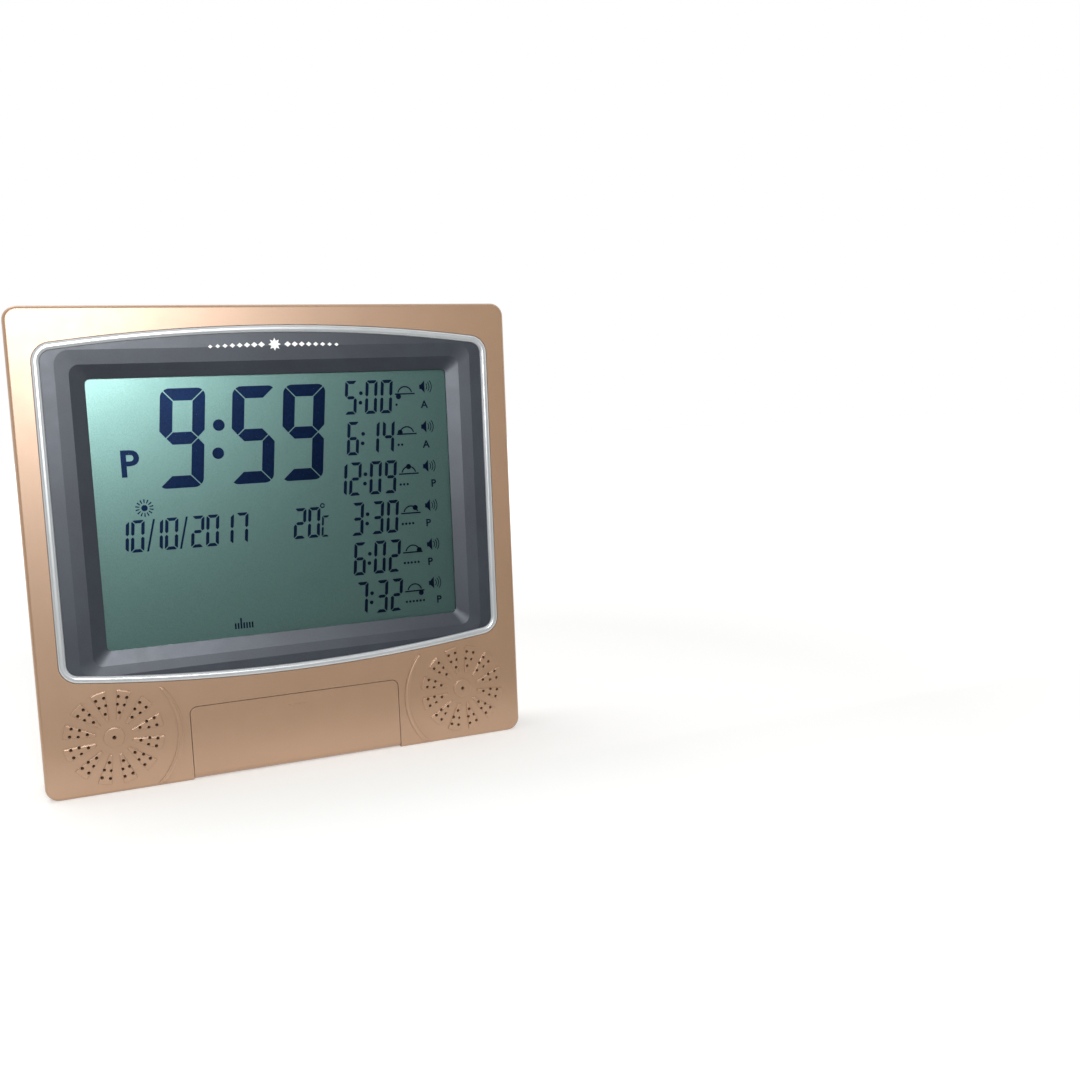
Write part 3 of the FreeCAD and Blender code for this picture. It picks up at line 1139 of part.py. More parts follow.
def stand_leg():
    """Fold-out leg: flat tapered plate with a finger slot, a hinge rod and a stop lip."""
    front = LEG_AXIS_DEPTH - LEG_THICKNESS / 2
    back = LEG_AXIS_DEPTH + LEG_THICKNESS / 2
    plate = leg_outline(0.0, front, back, LEG_FOOT_HEIGHT)
    plate = fillet_y_edges(plate, LEG_CORNER)
    slot = rounded_block(-LEG_SLOT_HALF, LEG_SLOT_HALF, front - CUT_OVERRUN, back + CUT_OVERRUN,
                         LEG_SLOT_LOW, LEG_SLOT_HIGH, LEG_SLOT_HALF - FULL_ROUND_LEFT)
    pin_end = LEG_TOP_HALF + LEG_PIN_LENGTH
    rod = rod_x(LEG_AXIS_DEPTH, LEG_AXIS_HEIGHT, LEG_PIN_RADIUS, -pin_end, pin_end)
    return keep(plate.cut(slot).fuse(rod))


def cell_height(index):
    """Z of one cell's axis."""
    return BAY_BOTTOM + BAY_HALF_PITCH + index * CELL_PITCH


def batteries():
    """Three cells, laid in alternate directions."""
    cells = []
    for index in range(CELL_COUNT):
        way = 1 if index % 2 == 0 else -1
        z = cell_height(index)
        half = CELL_LENGTH / 2
        can = rod_x(CELL_DEPTH, z, CELL_RADIUS, -half, half)
        nub_ends = sorted((way * half, way * (half + CELL_NUB_LENGTH)))
        nub = rod_x(CELL_DEPTH, z, CELL_NUB_RADIUS, nub_ends[0], nub_ends[1])
        cells.append(keep(can.fuse(nub)))
    return Part.makeCompound(cells)


def battery_contacts():
    """Plate with a dimple at each positive end, plate with a spring cone at each negative end."""
    contacts = []
    for index in range(CELL_COUNT):
        way = 1 if index % 2 == 0 else -1
        z = cell_height(index)
        for side in (-1, 1):
            wall = side * BAY_HALF_LENGTH
            inner = side * (BAY_HALF_LENGTH - CONTACT_THICKNESS)
            ends = sorted((wall, inner))
            plate = box(ends[0], ends[1], BAY_FLOOR_DEPTH,
                        BACK_DEPTH - BATTERY_COVER_THICKNESS - CONTACT_TOP_GAP,
                        z - CONTACT_HALF, z + CONTACT_HALF)
            if side == way:
                reach = side * (CELL_LENGTH / 2 + CELL_NUB_LENGTH)
                radius = CONTACT_DIMPLE_RADIUS
            else:
                reach = side * CELL_LENGTH / 2
                radius = CONTACT_SPRING_RADIUS
            length = abs(inner - reach)
            bump = Part.makeCone(radius, radius * 0.6, length, Vector(inner, y_at(CELL_DEPTH), z),
                                 Vector(-side, 0, 0))
            contacts.append(keep(plate.fuse(bump)))
    return Part.makeCompound(contacts)


def battery_cover():
    """Flat cover with a tongue at each end, grip ribs and two locating ribs."""
    lap = BATTERY_COVER_LAP - MOULDING_GAP
    front = BACK_DEPTH - BATTERY_COVER_THICKNESS
    plate = rounded_block(-BAY_HALF_LENGTH - lap, BAY_HALF_LENGTH + lap, front, BACK_DEPTH,
                          BAY_BOTTOM - lap, BAY_TOP + lap, BATTERY_COVER_CORNER)
    ribs = []
    for z0 in (BAY_BOTTOM + SEAT_GAP, BAY_TOP - SEAT_GAP - BATTERY_COVER_TONGUE):
        for side in (-1, 1):
            x = side * BAY_HALF_LENGTH / 2
            ribs.append(box(x - BATTERY_TONGUE_HALF, x + BATTERY_TONGUE_HALF,
                            front - BATTERY_TONGUE_REACH, front + FUSE_OVERLAP,
                            z0, z0 + BATTERY_COVER_TONGUE))
    cover = plate.multiFuse(ribs)
    grooves = []
    for index in range(BATTERY_GRIP_COUNT):
        z = BAY_TOP - BATTERY_GRIP_DROP - BATTERY_GRIP_PITCH * index
        grooves.append(rounded_block(-BATTERY_GRIP_HALF_LENGTH, BATTERY_GRIP_HALF_LENGTH,
                                     BACK_DEPTH - BATTERY_GRIP_DEPTH, BACK_DEPTH + CUT_OVERRUN,
                                     z - BATTERY_GRIP_HALF_WIDTH, z + BATTERY_GRIP_HALF_WIDTH,
                                     BATTERY_GRIP_HALF_WIDTH - FULL_ROUND_LEFT / 2))
    return keep(cover.cut(grooves))


def case_screws():
    """Screws that join the rear cover to the front panel's bosses."""
    return Part.makeCompound([
        screw(x, z, CASE_SCREW_HEAD, CASE_SCREW_HEAD_HEIGHT, CASE_SEAT_DEPTH,
              CASE_SCREW_RADIUS, CASE_SCREW_TIP)
        for x, z in CASE_SCREW_SPOTS])


def board_side_x():
    """X of the outer face of the side board."""
    return side_x(SIDE_DEPTH) + SIDE_BOARD_INSET


def side_inner_x(depth):
    """X of the inner face of the cover's left wall at one depth."""
    return side_x(depth) + COVER_WALL


def side_board():
    """Small circuit board that stands in the ribs of the cover."""
    x = board_side_x()
    return box(x, x + BOARD_THICKNESS, SIDE_BOARD_FRONT, COVER_INNER_DEPTH - SEAT_GAP,
               SIDE_BOARD_BOTTOM, SIDE_BOARD_TOP)


def dc_jack():
    """Power jack: block with a round bore and a centre pin."""
    half = JACK_WIDTH / 2
    outer = side_inner_x(SIDE_DEPTH + half) + MOULDING_GAP
    body = box(outer, board_side_x(), SIDE_DEPTH - half, SIDE_DEPTH + half,
               JACK_HEIGHT - half, JACK_HEIGHT + half)
    bore_end = board_side_x() - JACK_END_WALL
    bore = rod_x(SIDE_DEPTH, JACK_HEIGHT, JACK_BORE, outer - CUT_OVERRUN, bore_end)
    pin = rod_x(SIDE_DEPTH, JACK_HEIGHT, JACK_PIN_RADIUS, outer + JACK_PIN_SETBACK, bore_end + FUSE_OVERLAP)
    return keep(body.cut(bore).fuse(pin))


def side_button(z):
    """Round push button in the cover's left wall, with a rim inside."""
    outer = side_x(SIDE_DEPTH) + SIDE_BUTTON_RECESS
    rim_start = side_inner_x(SIDE_DEPTH) + SEAT_GAP
    pin = rod_x(SIDE_DEPTH, z, SIDE_PIN_RADIUS, outer, rim_start + SIDE_RIM_THICKNESS)
    rim = rod_x(SIDE_DEPTH, z, SIDE_RIM_RADIUS, rim_start, rim_start + SIDE_RIM_THICKNESS)
    return keep(pin.fuse(rim))


def side_switches():
    """Two tact switches on the side board, one behind each side button."""
    switches = []
    board = board_side_x()
    tip = side_inner_x(SIDE_DEPTH) + SEAT_GAP + SIDE_RIM_THICKNESS + SIDE_STROKE + MOULDING_GAP
    half = SWITCH_SIZE / 2
    for z in SIDE_BUTTON_HEIGHTS:
        body = box(board - SWITCH_BODY, board, SIDE_DEPTH - half, SIDE_DEPTH + half, z - half, z + half)
        stem = rod_x(SIDE_DEPTH, z, SWITCH_STEM_RADIUS, tip, board - SWITCH_BODY / 2)
        switches.append(keep(body.fuse(stem)))
    return Part.makeCompound(switches)


def all_nodes():
    """Every node's name and shape."""
    nodes = {
        "front_panel": front_panel(),
        "trim_ring": trim_ring(),
        "dark_bezel": dark_bezel(),
        "display_lens": display_lens(),
        "lcd_panel": lcd_panel(),
        "lcd_reflector": lcd_reflector(),
        "lcd_frame": lcd_frame(),
        "contact_strips": contact_strips(),
        "main_board": main_board(),
        "board_screws": board_screws(),
        "chip_covers": chip_covers(),
        "capacitors": capacitors(),
        "quartz_crystal": quartz_crystal(),
        "key_door": key_door(),
        "key_tray": key_tray(),
        "key_plate": key_plate(),
        "rubber_keypad": keypad(),
        "key_board": key_board(),
        "key_board_screws": key_board_screws(),
        "speaker_screws": speaker_screws(),
        "rear_cover": rear_cover(),
        "rubber_feet": rubber_feet(),
        "stand_leg": stand_leg(),
        "batteries": batteries(),
        "battery_contacts": battery_contacts(),
        "battery_cover": battery_cover(),
        "case_screws": case_screws(),
        "side_board": side_board(),
        "dc_jack": dc_jack(),
        "side_switches": side_switches(),
    }
    for row, column, x, z in key_centers():
        nodes["setting_key_{}_{}".format(row + 1, column + 1)] = setting_key(x, z)
    for name, z in zip(("upper", "lower"), SIDE_BUTTON_HEIGHTS):
        nodes["side_button_{}".format(name)] = side_button(z)
    for side, center_x in (("left", -SPEAKER_X), ("right", SPEAKER_X)):
        nodes["{}_speaker_gasket".format(side)] = speaker_gasket(center_x)
        nodes["{}_speaker_basket".format(side)] = speaker_basket(center_x)
        nodes["{}_speaker_magnet".format(side)] = speaker_magnet(center_x)
        nodes["{}_speaker_cone".format(side)] = speaker_cone(center_x)
    return nodes


def main():
    """Write one STEP file for each node."""
    os.makedirs("parts", exist_ok=True)
    for name, shape in all_nodes().items():
        shape.exportStep("parts/{}.step".format(name))
        print(name, len(shape.Solids), shape.isValid(), round(shape.Volume))


main()
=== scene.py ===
# %% [markdown]
# # A prayer-time desk clock
# The solid model comes first. Its plastic mouldings, screws and boards already have their real
# shapes and places, so this lesson keeps them and gives each one a finish. What is printed,
# etched or too soft for the solid model is built here: the display's segments, the ornament on
# the bezel, and the rounded edges of the speaker grilles and ridges.

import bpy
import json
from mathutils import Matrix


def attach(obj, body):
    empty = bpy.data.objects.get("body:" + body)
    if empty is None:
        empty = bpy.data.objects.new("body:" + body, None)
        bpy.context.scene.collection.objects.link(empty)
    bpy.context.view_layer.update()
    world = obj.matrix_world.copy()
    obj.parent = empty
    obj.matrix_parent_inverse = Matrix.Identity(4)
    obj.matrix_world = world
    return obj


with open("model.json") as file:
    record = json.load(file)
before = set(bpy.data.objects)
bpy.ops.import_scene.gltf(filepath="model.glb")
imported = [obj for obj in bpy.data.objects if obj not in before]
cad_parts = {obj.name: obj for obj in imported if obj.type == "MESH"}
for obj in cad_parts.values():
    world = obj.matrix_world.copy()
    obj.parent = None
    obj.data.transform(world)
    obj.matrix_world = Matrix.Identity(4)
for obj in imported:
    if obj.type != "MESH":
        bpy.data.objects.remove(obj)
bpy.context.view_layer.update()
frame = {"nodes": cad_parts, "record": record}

# %% [markdown]
# ## Helpers
# The clock was measured in millimetres. Depth counts back from the front panel's face, and
# height from the surface it stands on. Blender works in metres, so one function turns a
# measured place into a point.

# %% Measured places
import json
import math

import bmesh
import bpy
from mathutils import Vector

MM = 0.001
FACE_Y = -17.1
PANEL_MIDDLE = 112.75


def place_at(x, height, depth):
    """A measured place as a point in metres."""
    return Vector((x * MM, (FACE_Y + depth) * MM, height * MM))


print("face centre:", tuple(round(value, 4) for value in place_at(0, PANEL_MIDDLE, 0)))

# %% [markdown]
# Colours are read off real samples as sRGB hex values. A shader wants linear light, so one
# function converts them. Another adds a node, sets it and links it, and every material and
# geometry tree below is built with it.

# %% Colour and node helpers


def paint(hex_code):
    """An sRGB hex value as linear red, green, blue and alpha."""
    channels = []
    for start in (0, 2, 4):
        value = int(hex_code[start:start + 2], 16) / 255
        channels.append(value / 12.92 if value <= 0.04045 else ((value + 0.055) / 1.055) ** 2.4)
    return (*channels, 1.0)


def add_node(tree, kind, inputs=None, links=None, **settings):
    """A new node with its settings, its input values and its links."""
    node = tree.nodes.new(kind)
    for name, value in settings.items():
        setattr(node, name, value)
    for key, value in (inputs or {}).items():
        node.inputs[key].default_value = value
    for key, socket in (links or {}).items():
        tree.links.new(socket, node.inputs[key])
    return node


print("gold in linear light:", tuple(round(value, 3) for value in paint("B08D72")))

# %% [markdown]
# ## Camera
# The picture is taken from the left of the clock, a little above its middle and about
# sixty centimetres away. The lens is a little wider than a normal one.

# %% Camera
camera_data = bpy.data.cameras.new("camera")
camera_data.lens = 38.93
camera_data.sensor_width = 36.0
camera_data.clip_start = 0.01
camera = bpy.data.objects.new("camera", camera_data)
bpy.context.scene.collection.objects.link(camera)
camera.location = (-0.1115, -0.5849, 0.17855)
camera.rotation_euler = [math.radians(angle) for angle in (82.862, 2.136, -23.652)]
bpy.context.scene.camera = camera
bpy.context.scene.view_settings.view_transform = "Standard"
print("camera at", tuple(camera.location))

# %% [markdown]
# ## Floor and light
# One soft lamp hangs behind the camera and above it, to the left of the clock. It puts a
# bright patch on the upper left of the satin surfaces, which fades towards the lower right.
# A weaker one hangs high behind the clock and lights its top. The world fills the shadows.
# Only rays that the eye follows see it as white, and the sheet on the floor rises into that
# white further out.

# %% Rays that the eye follows


def seen_by_eye(tree):
    """One for camera, glossy and transmission rays, and zero for the rest."""
    path = add_node(tree, "ShaderNodeLightPath")
    first = add_node(tree, "ShaderNodeMath", operation="MAXIMUM",
                     links={0: path.outputs["Is Camera Ray"], 1: path.outputs["Is Glossy Ray"]})
    both = add_node(tree, "ShaderNodeMath", operation="MAXIMUM",
                    links={0: first.outputs[0], 1: path.outputs["Is Transmission Ray"]})
    return both.outputs[0]


print("three kinds of ray count as seen")

# %% Floor
FLOOR_REACH = 4
WHITE_STARTS = 0.35
WHITE_IS_FULL = 1.3
floor_mesh = bpy.data.meshes.new("floor")
floor_mesh.from_pydata([(-FLOOR_REACH, -FLOOR_REACH, 0), (FLOOR_REACH, -FLOOR_REACH, 0),
                        (FLOOR_REACH, FLOOR_REACH, 0), (-FLOOR_REACH, FLOOR_REACH, 0)],
                       [], [(0, 1, 2, 3)])
floor = bpy.data.objects.new("floor", floor_mesh)
bpy.context.scene.collection.objects.link(floor)
floor_paint = bpy.data.materials.new("pale_paper_sweep")
floor_paint.use_nodes = True
tree = floor_paint.node_tree
tree.nodes.clear()
ground = add_node(tree, "ShaderNodeTexCoord").outputs["Object"]
reach = add_node(tree, "ShaderNodeVectorMath", links={0: ground}, operation="LENGTH")
sweep = add_node(tree, "ShaderNodeMapRange",
                 {"From Min": WHITE_STARTS, "From Max": WHITE_IS_FULL,
                  "To Min": 0.3, "To Max": 1.0},
                 {"Value": reach.outputs["Value"]})
lift = add_node(tree, "ShaderNodeMath", links={0: seen_by_eye(tree), 1: sweep.outputs[0]},
                operation="MULTIPLY")
paper = add_node(tree, "ShaderNodeBsdfPrincipled",
                 {"Base Color": paint("F0F0EE"), "Roughness": 0.9, "Emission Color": (1, 1, 1, 1)},
                 {"Emission Strength": lift.outputs[0]})
add_node(tree, "ShaderNodeOutputMaterial", links={"Surface": paper.outputs[0]})
floor_mesh.materials.append(floor_paint)
print("floor:", floor_paint.name, "white from", WHITE_IS_FULL, "m")

# %% World
world = bpy.data.worlds.new("studio_walls")
bpy.context.scene.world = world
world.use_nodes = True
tree = world.node_tree
tree.nodes.clear()
fill = add_node(tree, "ShaderNodeBackground", {"Color": (1, 1, 1, 1), "Strength": 0.42})
white = add_node(tree, "ShaderNodeBackground", {"Color": (1, 1, 1, 1), "Strength": 1.0})
walls = add_node(tree, "ShaderNodeMixShader",
                 links={0: seen_by_eye(tree), 1: fill.outputs[0], 2: white.outputs[0]})
add_node(tree, "ShaderNodeOutputWorld", links={"Surface": walls.outputs[0]})
print("world:", world.name)

# %% Lamps


def add_lamp(name, location, aim, side, power):
    """A square soft lamp that points at a place."""
    data = bpy.data.lights.new(name, "AREA")
    data.shape = "SQUARE"
    data.size = side
    data.energy = power
    lamp = bpy.data.objects.new(name, data)
    lamp.location = location
    lamp.rotation_euler = (Vector(aim) - Vector(location)).to_track_quat("-Z", "Y").to_euler()
    bpy.context.scene.collection.objects.link(lamp)
    return lamp


key_lamp = add_lamp("key_lamp", (-0.1, -0.99, 0.37), (0.0, 0.0, 0.12), 0.24, 7.0)
top_lamp = add_lamp("top_lamp", (-0.3, 0.3, 1.1), (0.0, 0.0, 0.1), 0.8, 4.5)
print("lamps:", key_lamp.data.energy, "W and", top_lamp.data.energy, "W")

# %% [markdown]
# Satin metal only looks deep when it has something dark to mirror. In a studio a black cloth
# lies in front of the object and hangs behind the camera. Here it is one bent sheet that
# reflections show and the camera doesn't, so it never gets into a picture.

# %% Black cloth for the reflections
CLOTH_SIDES = (-1.6, 1.8)
CLOTH_NEAR = -0.07
CLOTH_FAR = -1.3
CLOTH_LOW = 0.002
CLOTH_TOP = 1.9
cloth_mesh = bpy.data.meshes.new("black_cloth")
cloth_mesh.from_pydata(
    [(x, y, z) for y, z in ((CLOTH_NEAR, CLOTH_LOW), (CLOTH_FAR, CLOTH_LOW), (CLOTH_FAR, CLOTH_TOP))
     for x in CLOTH_SIDES], [], [(0, 1, 3, 2), (2, 3, 5, 4)])
black_cloth = bpy.data.objects.new("black_cloth", cloth_mesh)
bpy.context.scene.collection.objects.link(black_cloth)
cloth_finish = bpy.data.materials.new("black_velvet")
cloth_finish.use_nodes = True
cloth_surface = cloth_finish.node_tree.nodes["Principled BSDF"]
cloth_surface.inputs["Base Color"].default_value = paint("0C0C0E")
cloth_surface.inputs["Roughness"].default_value = 1.0
cloth_mesh.materials.append(cloth_finish)
black_cloth.visible_camera = False
black_cloth.visible_diffuse = False
black_cloth.visible_shadow = False
print("cloth:", [round(size, 2) for size in black_cloth.dimensions])

# %% [markdown]
# ## Finishes
# Every finish starts from what the real one is. Three small patterns serve most of them:
# a slow drift of colour, an uneven gloss, and a fine grain that tips the surface. Their
# sizes are real millimetres. Noise stays near its middle value, so Map Range stretches that.

# %% Pattern helpers


def start_finish(name, hex_code, metallic, roughness):
    """A material with one surface shader, and the place socket that its patterns read."""
    material = bpy.data.materials.new(name)
    material.use_nodes = True
    tree = material.node_tree
    tree.nodes.clear()
    surface = add_node(tree, "ShaderNodeBsdfPrincipled",
                       {"Base Color": paint(hex_code), "Metallic": metallic,
                        "Roughness": roughness})
    add_node(tree, "ShaderNodeOutputMaterial", links={"Surface": surface.outputs[0]})
    place = add_node(tree, "ShaderNodeTexCoord").outputs["Object"]
    return material, tree, surface, place


def drift_colour(tree, surface, place, patch_mm, first, second):
    """Lets the colour wander between two hex values over patches of this size."""
    clouds = add_node(tree, "ShaderNodeTexNoise", {"Scale": 1 / (patch_mm * MM), "Detail": 3.0},
                      {"Vector": place})
    spread = add_node(tree, "ShaderNodeMapRange", {"From Min": 0.35, "From Max": 0.65},
                      {"Value": clouds.outputs["Fac"]})
    mixed = add_node(tree, "ShaderNodeMix", data_type="RGBA")
    mixed.inputs[6].default_value = paint(first)
    mixed.inputs[7].default_value = paint(second)
    tree.links.new(spread.outputs[0], mixed.inputs[0])
    tree.links.new(mixed.outputs[2], surface.inputs["Base Color"])
    return mixed


def uneven_gloss(tree, surface, place, patch_mm, low, high):
    """Lets the roughness wander between two values."""
    clouds = add_node(tree, "ShaderNodeTexNoise", {"Scale": 1 / (patch_mm * MM), "Detail": 2.0},
                      {"Vector": place})
    spread = add_node(tree, "ShaderNodeMapRange",
                      {"From Min": 0.3, "From Max": 0.7, "To Min": low, "To Max": high},
                      {"Value": clouds.outputs["Fac"]})
    tree.links.new(spread.outputs[0], surface.inputs["Roughness"])


def add_grain(tree, surface, place, grain_mm, height_mm, detail=2.0):
    """Tips the surface as a grain of this width and height would."""
    bumps = add_node(tree, "ShaderNodeTexNoise", {"Scale": 1 / (grain_mm * MM), "Detail": detail},
                     {"Vector": place})
    tipped = add_node(tree, "ShaderNodeBump", {"Strength": 1.0, "Distance": height_mm * MM},
                      {"Height": bumps.outputs["Fac"]})
    tree.links.new(tipped.outputs[0], surface.inputs["Normal"])


# Real flakes are 0.05 mm. These are as coarse as a close view needs to show them.
FLAKE_SIZE = 0.25


def add_flakes(tree, surface, place, body, share, flake_hex, body_metal):
    """Lets metal flakes show through a paint, over this share of its surface on average."""
    cells = add_node(tree, "ShaderNodeTexVoronoi", {"Scale": 1 / (FLAKE_SIZE * MM)},
                     {"Vector": place})
    split = add_node(tree, "ShaderNodeSeparateColor", links={"Color": cells.outputs["Color"]})
    shown = add_node(tree, "ShaderNodeMapRange", {"To Min": share * 0.6, "To Max": share * 1.4},
                     {"Value": split.outputs[0]})
    mixed = add_node(tree, "ShaderNodeMix", data_type="RGBA")
    mixed.inputs[7].default_value = paint(flake_hex)
    tree.links.new(shown.outputs[0], mixed.inputs[0])
    tree.links.new(body.outputs[2], mixed.inputs[6])
    tree.links.new(mixed.outputs[2], surface.inputs["Base Color"])
    metal = add_node(tree, "ShaderNodeMapRange", {"To Min": body_metal, "To Max": 1.0},
                     {"Value": shown.outputs[0]})
    tree.links.new(metal.outputs[0], surface.inputs["Metallic"])


print("flakes are drawn", FLAKE_SIZE, "mm wide")

# %% A finish with the usual patterns


def usual_finish(name, hex_code, metallic, roughness, drift, gloss=None, grain=None):
    """A material whose colour drifts and, where these are given, with uneven gloss and grain."""
    material, tree, surface, place = start_finish(name, hex_code, metallic, roughness)
    drift_colour(tree, surface, place, *drift)
    if gloss:
        uneven_gloss(tree, surface, place, *gloss)
    if grain:
        add_grain(tree, surface, place, *grain)
    return material


print("patterns: drift, gloss and grain")

# %% [markdown]
# ### Gold paint on the front
# The panel and its door are moulded in ABS and sprayed with a satin metallic paint. Small
# aluminium flakes lie in it, so its highlights are paler than its colour, and the sprayed
# film has a faint orange peel.

# %% Gold paint
gold_paint, tree, surface, place = start_finish("satin_gold_metallic_paint", "A88363", 0.3, 0.36)
body = drift_colour(tree, surface, place, 60.0, "A68161", "AA8565")
add_flakes(tree, surface, place, body, 0.04, "DCD3CB", 0.3)
surface.inputs["Coat Weight"].default_value = 1.0
surface.inputs["Coat IOR"].default_value = 1.62
surface.inputs["Coat Roughness"].default_value = 0.36
uneven_gloss(tree, surface, place, 8.0, 0.35, 0.39)
add_grain(tree, surface, place, 1.4, 0.004, 4.0)
print(gold_paint.name)

# %% [markdown]
# ### Gold plastic at the back
# The rear cover, the stand and the battery cover aren't painted. Their plastic is coloured
# right through, and the mould was spark eroded, which leaves a fine matt grain.

# %% Gold plastic
gold_plastic = usual_finish("moulded_gold_abs", "A98768", 0.15, 0.5, (40.0, "A88566", "AB8A6B"),
                            gloss=(3.0, 0.46, 0.56), grain=(0.7, 0.03, 3.0))
print(gold_plastic.name)

# %% [markdown]
# ### Silver ring
# The trim ring is vacuum plated over a satin moulding. It mirrors the room softly, and the
# plating is never quite even.

# %% Silver plating
silver_plating = usual_finish("satin_silver_plating", "CDD1D3", 0.5, 0.32,
                              (30.0, "C9CED0", "D1D4D6"),
                              gloss=(9.0, 0.28, 0.32), grain=(2.5, 0.003))
print(silver_plating.name)

# %% [markdown]
# ### Slate bezel
# The dished bezel carries a dark blue-grey metallic lacquer under a clear coat, so its
# border turns pale where the lamp catches it and stays dark elsewhere.

# %% Slate lacquer
slate_lacquer, tree, surface, place = start_finish("slate_metallic_lacquer", "2B323E", 0.2, 0.42)
body = drift_colour(tree, surface, place, 25.0, "29303B", "2E3541")
add_flakes(tree, surface, place, body, 0.025, "BFC2C6", 0.35)
surface.inputs["Coat Weight"].default_value = 0.5
surface.inputs["Coat Roughness"].default_value = 0.42
uneven_gloss(tree, surface, place, 6.0, 0.4, 0.45)
add_grain(tree, surface, place, 1.1, 0.003, 4.0)
print(slate_lacquer.name)

# %% [markdown]
# ### Clear lens
# A thin acrylic sheet with an anti-glare face covers the display. It's nearly invisible, so
# most of it is left out by alpha and the rest is clear acrylic, which keeps a little gloss.

# %% Clear acrylic
clear_acrylic, tree, surface, place = start_finish("clear_acrylic", "F4FBFA", 0.0, 0.16)
surface.inputs["IOR"].default_value = 1.49
surface.inputs["Transmission Weight"].default_value = 1.0
surface.inputs["Alpha"].default_value = 0.12
uneven_gloss(tree, surface, place, 40.0, 0.15, 0.18)
print(clear_acrylic.name)

# %% [markdown]
# ### Liquid crystal display
# The display has no lamp of its own. Its back is a metallised film behind a grey-green
# polariser, so it mirrors a soft lamp as a pale cyan patch and stays dark teal elsewhere.
# The film's fine silvery grain shows close up.

# %% Display film
display_film = usual_finish("reflective_lcd_film", "62827E", 0.8, 0.32, (0.5, "5F7F7B", "668682"),
                            gloss=(0.8, 0.31, 0.34), grain=(0.5, 0.002, 3.0))
segment_ink = usual_finish("dark_liquid_crystal", "0C1B36", 1.0, 0.36, (0.6, "0B1831", "0E1F3E"))
print(display_film.name, segment_ink.name)

# %% [markdown]
# ### Small parts of plastic and rubber
# Keys, tray, buttons and feet have the matt grain that their moulds give them. The strips
# that carry the display's signals are rubber with thin dark layers. A wave repeats after
# about a third of its own scale, which sets the layers 0.4 mm apart.

# %% Plastic and rubber
dark_plastic = usual_finish("moulded_black_abs", "1E1F22", 0.0, 0.48, (12.0, "1B1C1F", "222326"),
                            gloss=(2.5, 0.43, 0.55), grain=(0.6, 0.02))

key_plastic = usual_finish("moulded_grey_keys", "8A8D92", 0.0, 0.42, (5.0, "868A8F", "8F9297"),
                           gloss=(2.0, 0.38, 0.46), grain=(0.4, 0.01))

white_plastic = usual_finish("moulded_white_abs", "DCDCD6", 0.0, 0.45, (20.0, "D8D8D1", "E0E0DA"),
                             grain=(0.6, 0.015))

keypad_rubber, tree, surface, place = start_finish("silicone_keypad", "8F9094", 0.0, 0.62)
drift_colour(tree, surface, place, 6.0, "8B8C90", "949599")
surface.inputs["Subsurface Weight"].default_value = 0.05
surface.inputs["Subsurface Scale"].default_value = 0.001
add_grain(tree, surface, place, 0.5, 0.01)

foot_rubber = usual_finish("black_foot_rubber", "18181A", 0.0, 0.75, (4.0, "151517", "1D1D1F"),
                           grain=(0.4, 0.03, 4.0))

strip_rubber, tree, surface, place = start_finish("layered_contact_rubber", "6A6A6C", 0.0, 0.6)
layers = add_node(tree, "ShaderNodeTexWave", {"Scale": 1 / (1.2 * MM)}, {"Vector": place},
                  wave_type="BANDS", bands_direction="X")
banded = add_node(tree, "ShaderNodeMix", data_type="RGBA")
banded.inputs[6].default_value = paint("2A2A2C")
banded.inputs[7].default_value = paint("8C8C8E")
tree.links.new(layers.outputs["Fac"], banded.inputs[0])
tree.links.new(banded.outputs[2], surface.inputs["Base Color"])
print("plastic and rubber finishes: 6")

# %% [markdown]
# ### Metal and electronics
# Screws are zinc plated, contacts are nickel plated and the speaker baskets are sprayed
# black. The boards carry copper tracks under green lacquer, which show as a slightly
# lighter and raised pattern.

# %% Metal parts
screw_steel = usual_finish("zinc_plated_steel", "B4B5B8", 1.0, 0.3, (1.5, "AEAFB3", "BABBBD"),
                           gloss=(0.8, 0.24, 0.38), grain=(0.4, 0.008, 4.0))

nickel_contact = usual_finish("nickel_plated_spring_steel", "C9C6BC", 1.0, 0.22,
                              (2.0, "C4C1B6", "CECBC2"), gloss=(1.0, 0.18, 0.3))

can_aluminium = usual_finish("capacitor_can_aluminium", "8F9399", 1.0, 0.35,
                             (2.0, "898D93", "969A9F"), gloss=(1.0, 0.3, 0.42))

basket_steel = usual_finish("black_sprayed_steel", "232427", 0.3, 0.45, (3.0, "1F2023", "28292C"),
                            grain=(0.5, 0.012))

reflector_sheet = usual_finish("aluminium_reflector_film", "C8CBC8", 1.0, 0.4,
                               (8.0, "C4C7C4", "CDD0CD"))
print("metal finishes: 5")

# %% Boards and other electronics
circuit_board, tree, surface, place = start_finish("green_circuit_board", "2F5A38", 0.0, 0.35)
tracks = add_node(tree, "ShaderNodeTexBrick",
                  {"Scale": 1.0, "Brick Width": 6.0 * MM, "Row Height": 1.6 * MM,
                   "Mortar Size": 0.35 * MM, "Mortar Smooth": 0.3, "Color1": paint("2B5434"),
                   "Color2": paint("305B3A"), "Mortar": paint("47794D")}, offset=0.37)
upright = add_node(tree, "ShaderNodeMapping", {"Rotation": (math.radians(90), 0, 0)},
                   {"Vector": place})
tree.links.new(upright.outputs[0], tracks.inputs["Vector"])
tree.links.new(tracks.outputs["Color"], surface.inputs["Base Color"])
raised = add_node(tree, "ShaderNodeBump", {"Distance": 0.03 * MM},
                  {"Height": tracks.outputs["Fac"]})
tree.links.new(raised.outputs[0], surface.inputs["Normal"])

black_resin = usual_finish("black_epoxy_resin", "0E0E10", 0.0, 0.2, (4.0, "0C0C0E", "131315"),
                           grain=(3.0, 0.05))

magnet_ferrite = usual_finish("ground_ferrite", "2B2B2E", 0.0, 0.55, (2.0, "27272A", "313134"),
                              grain=(0.5, 0.02, 4.0))

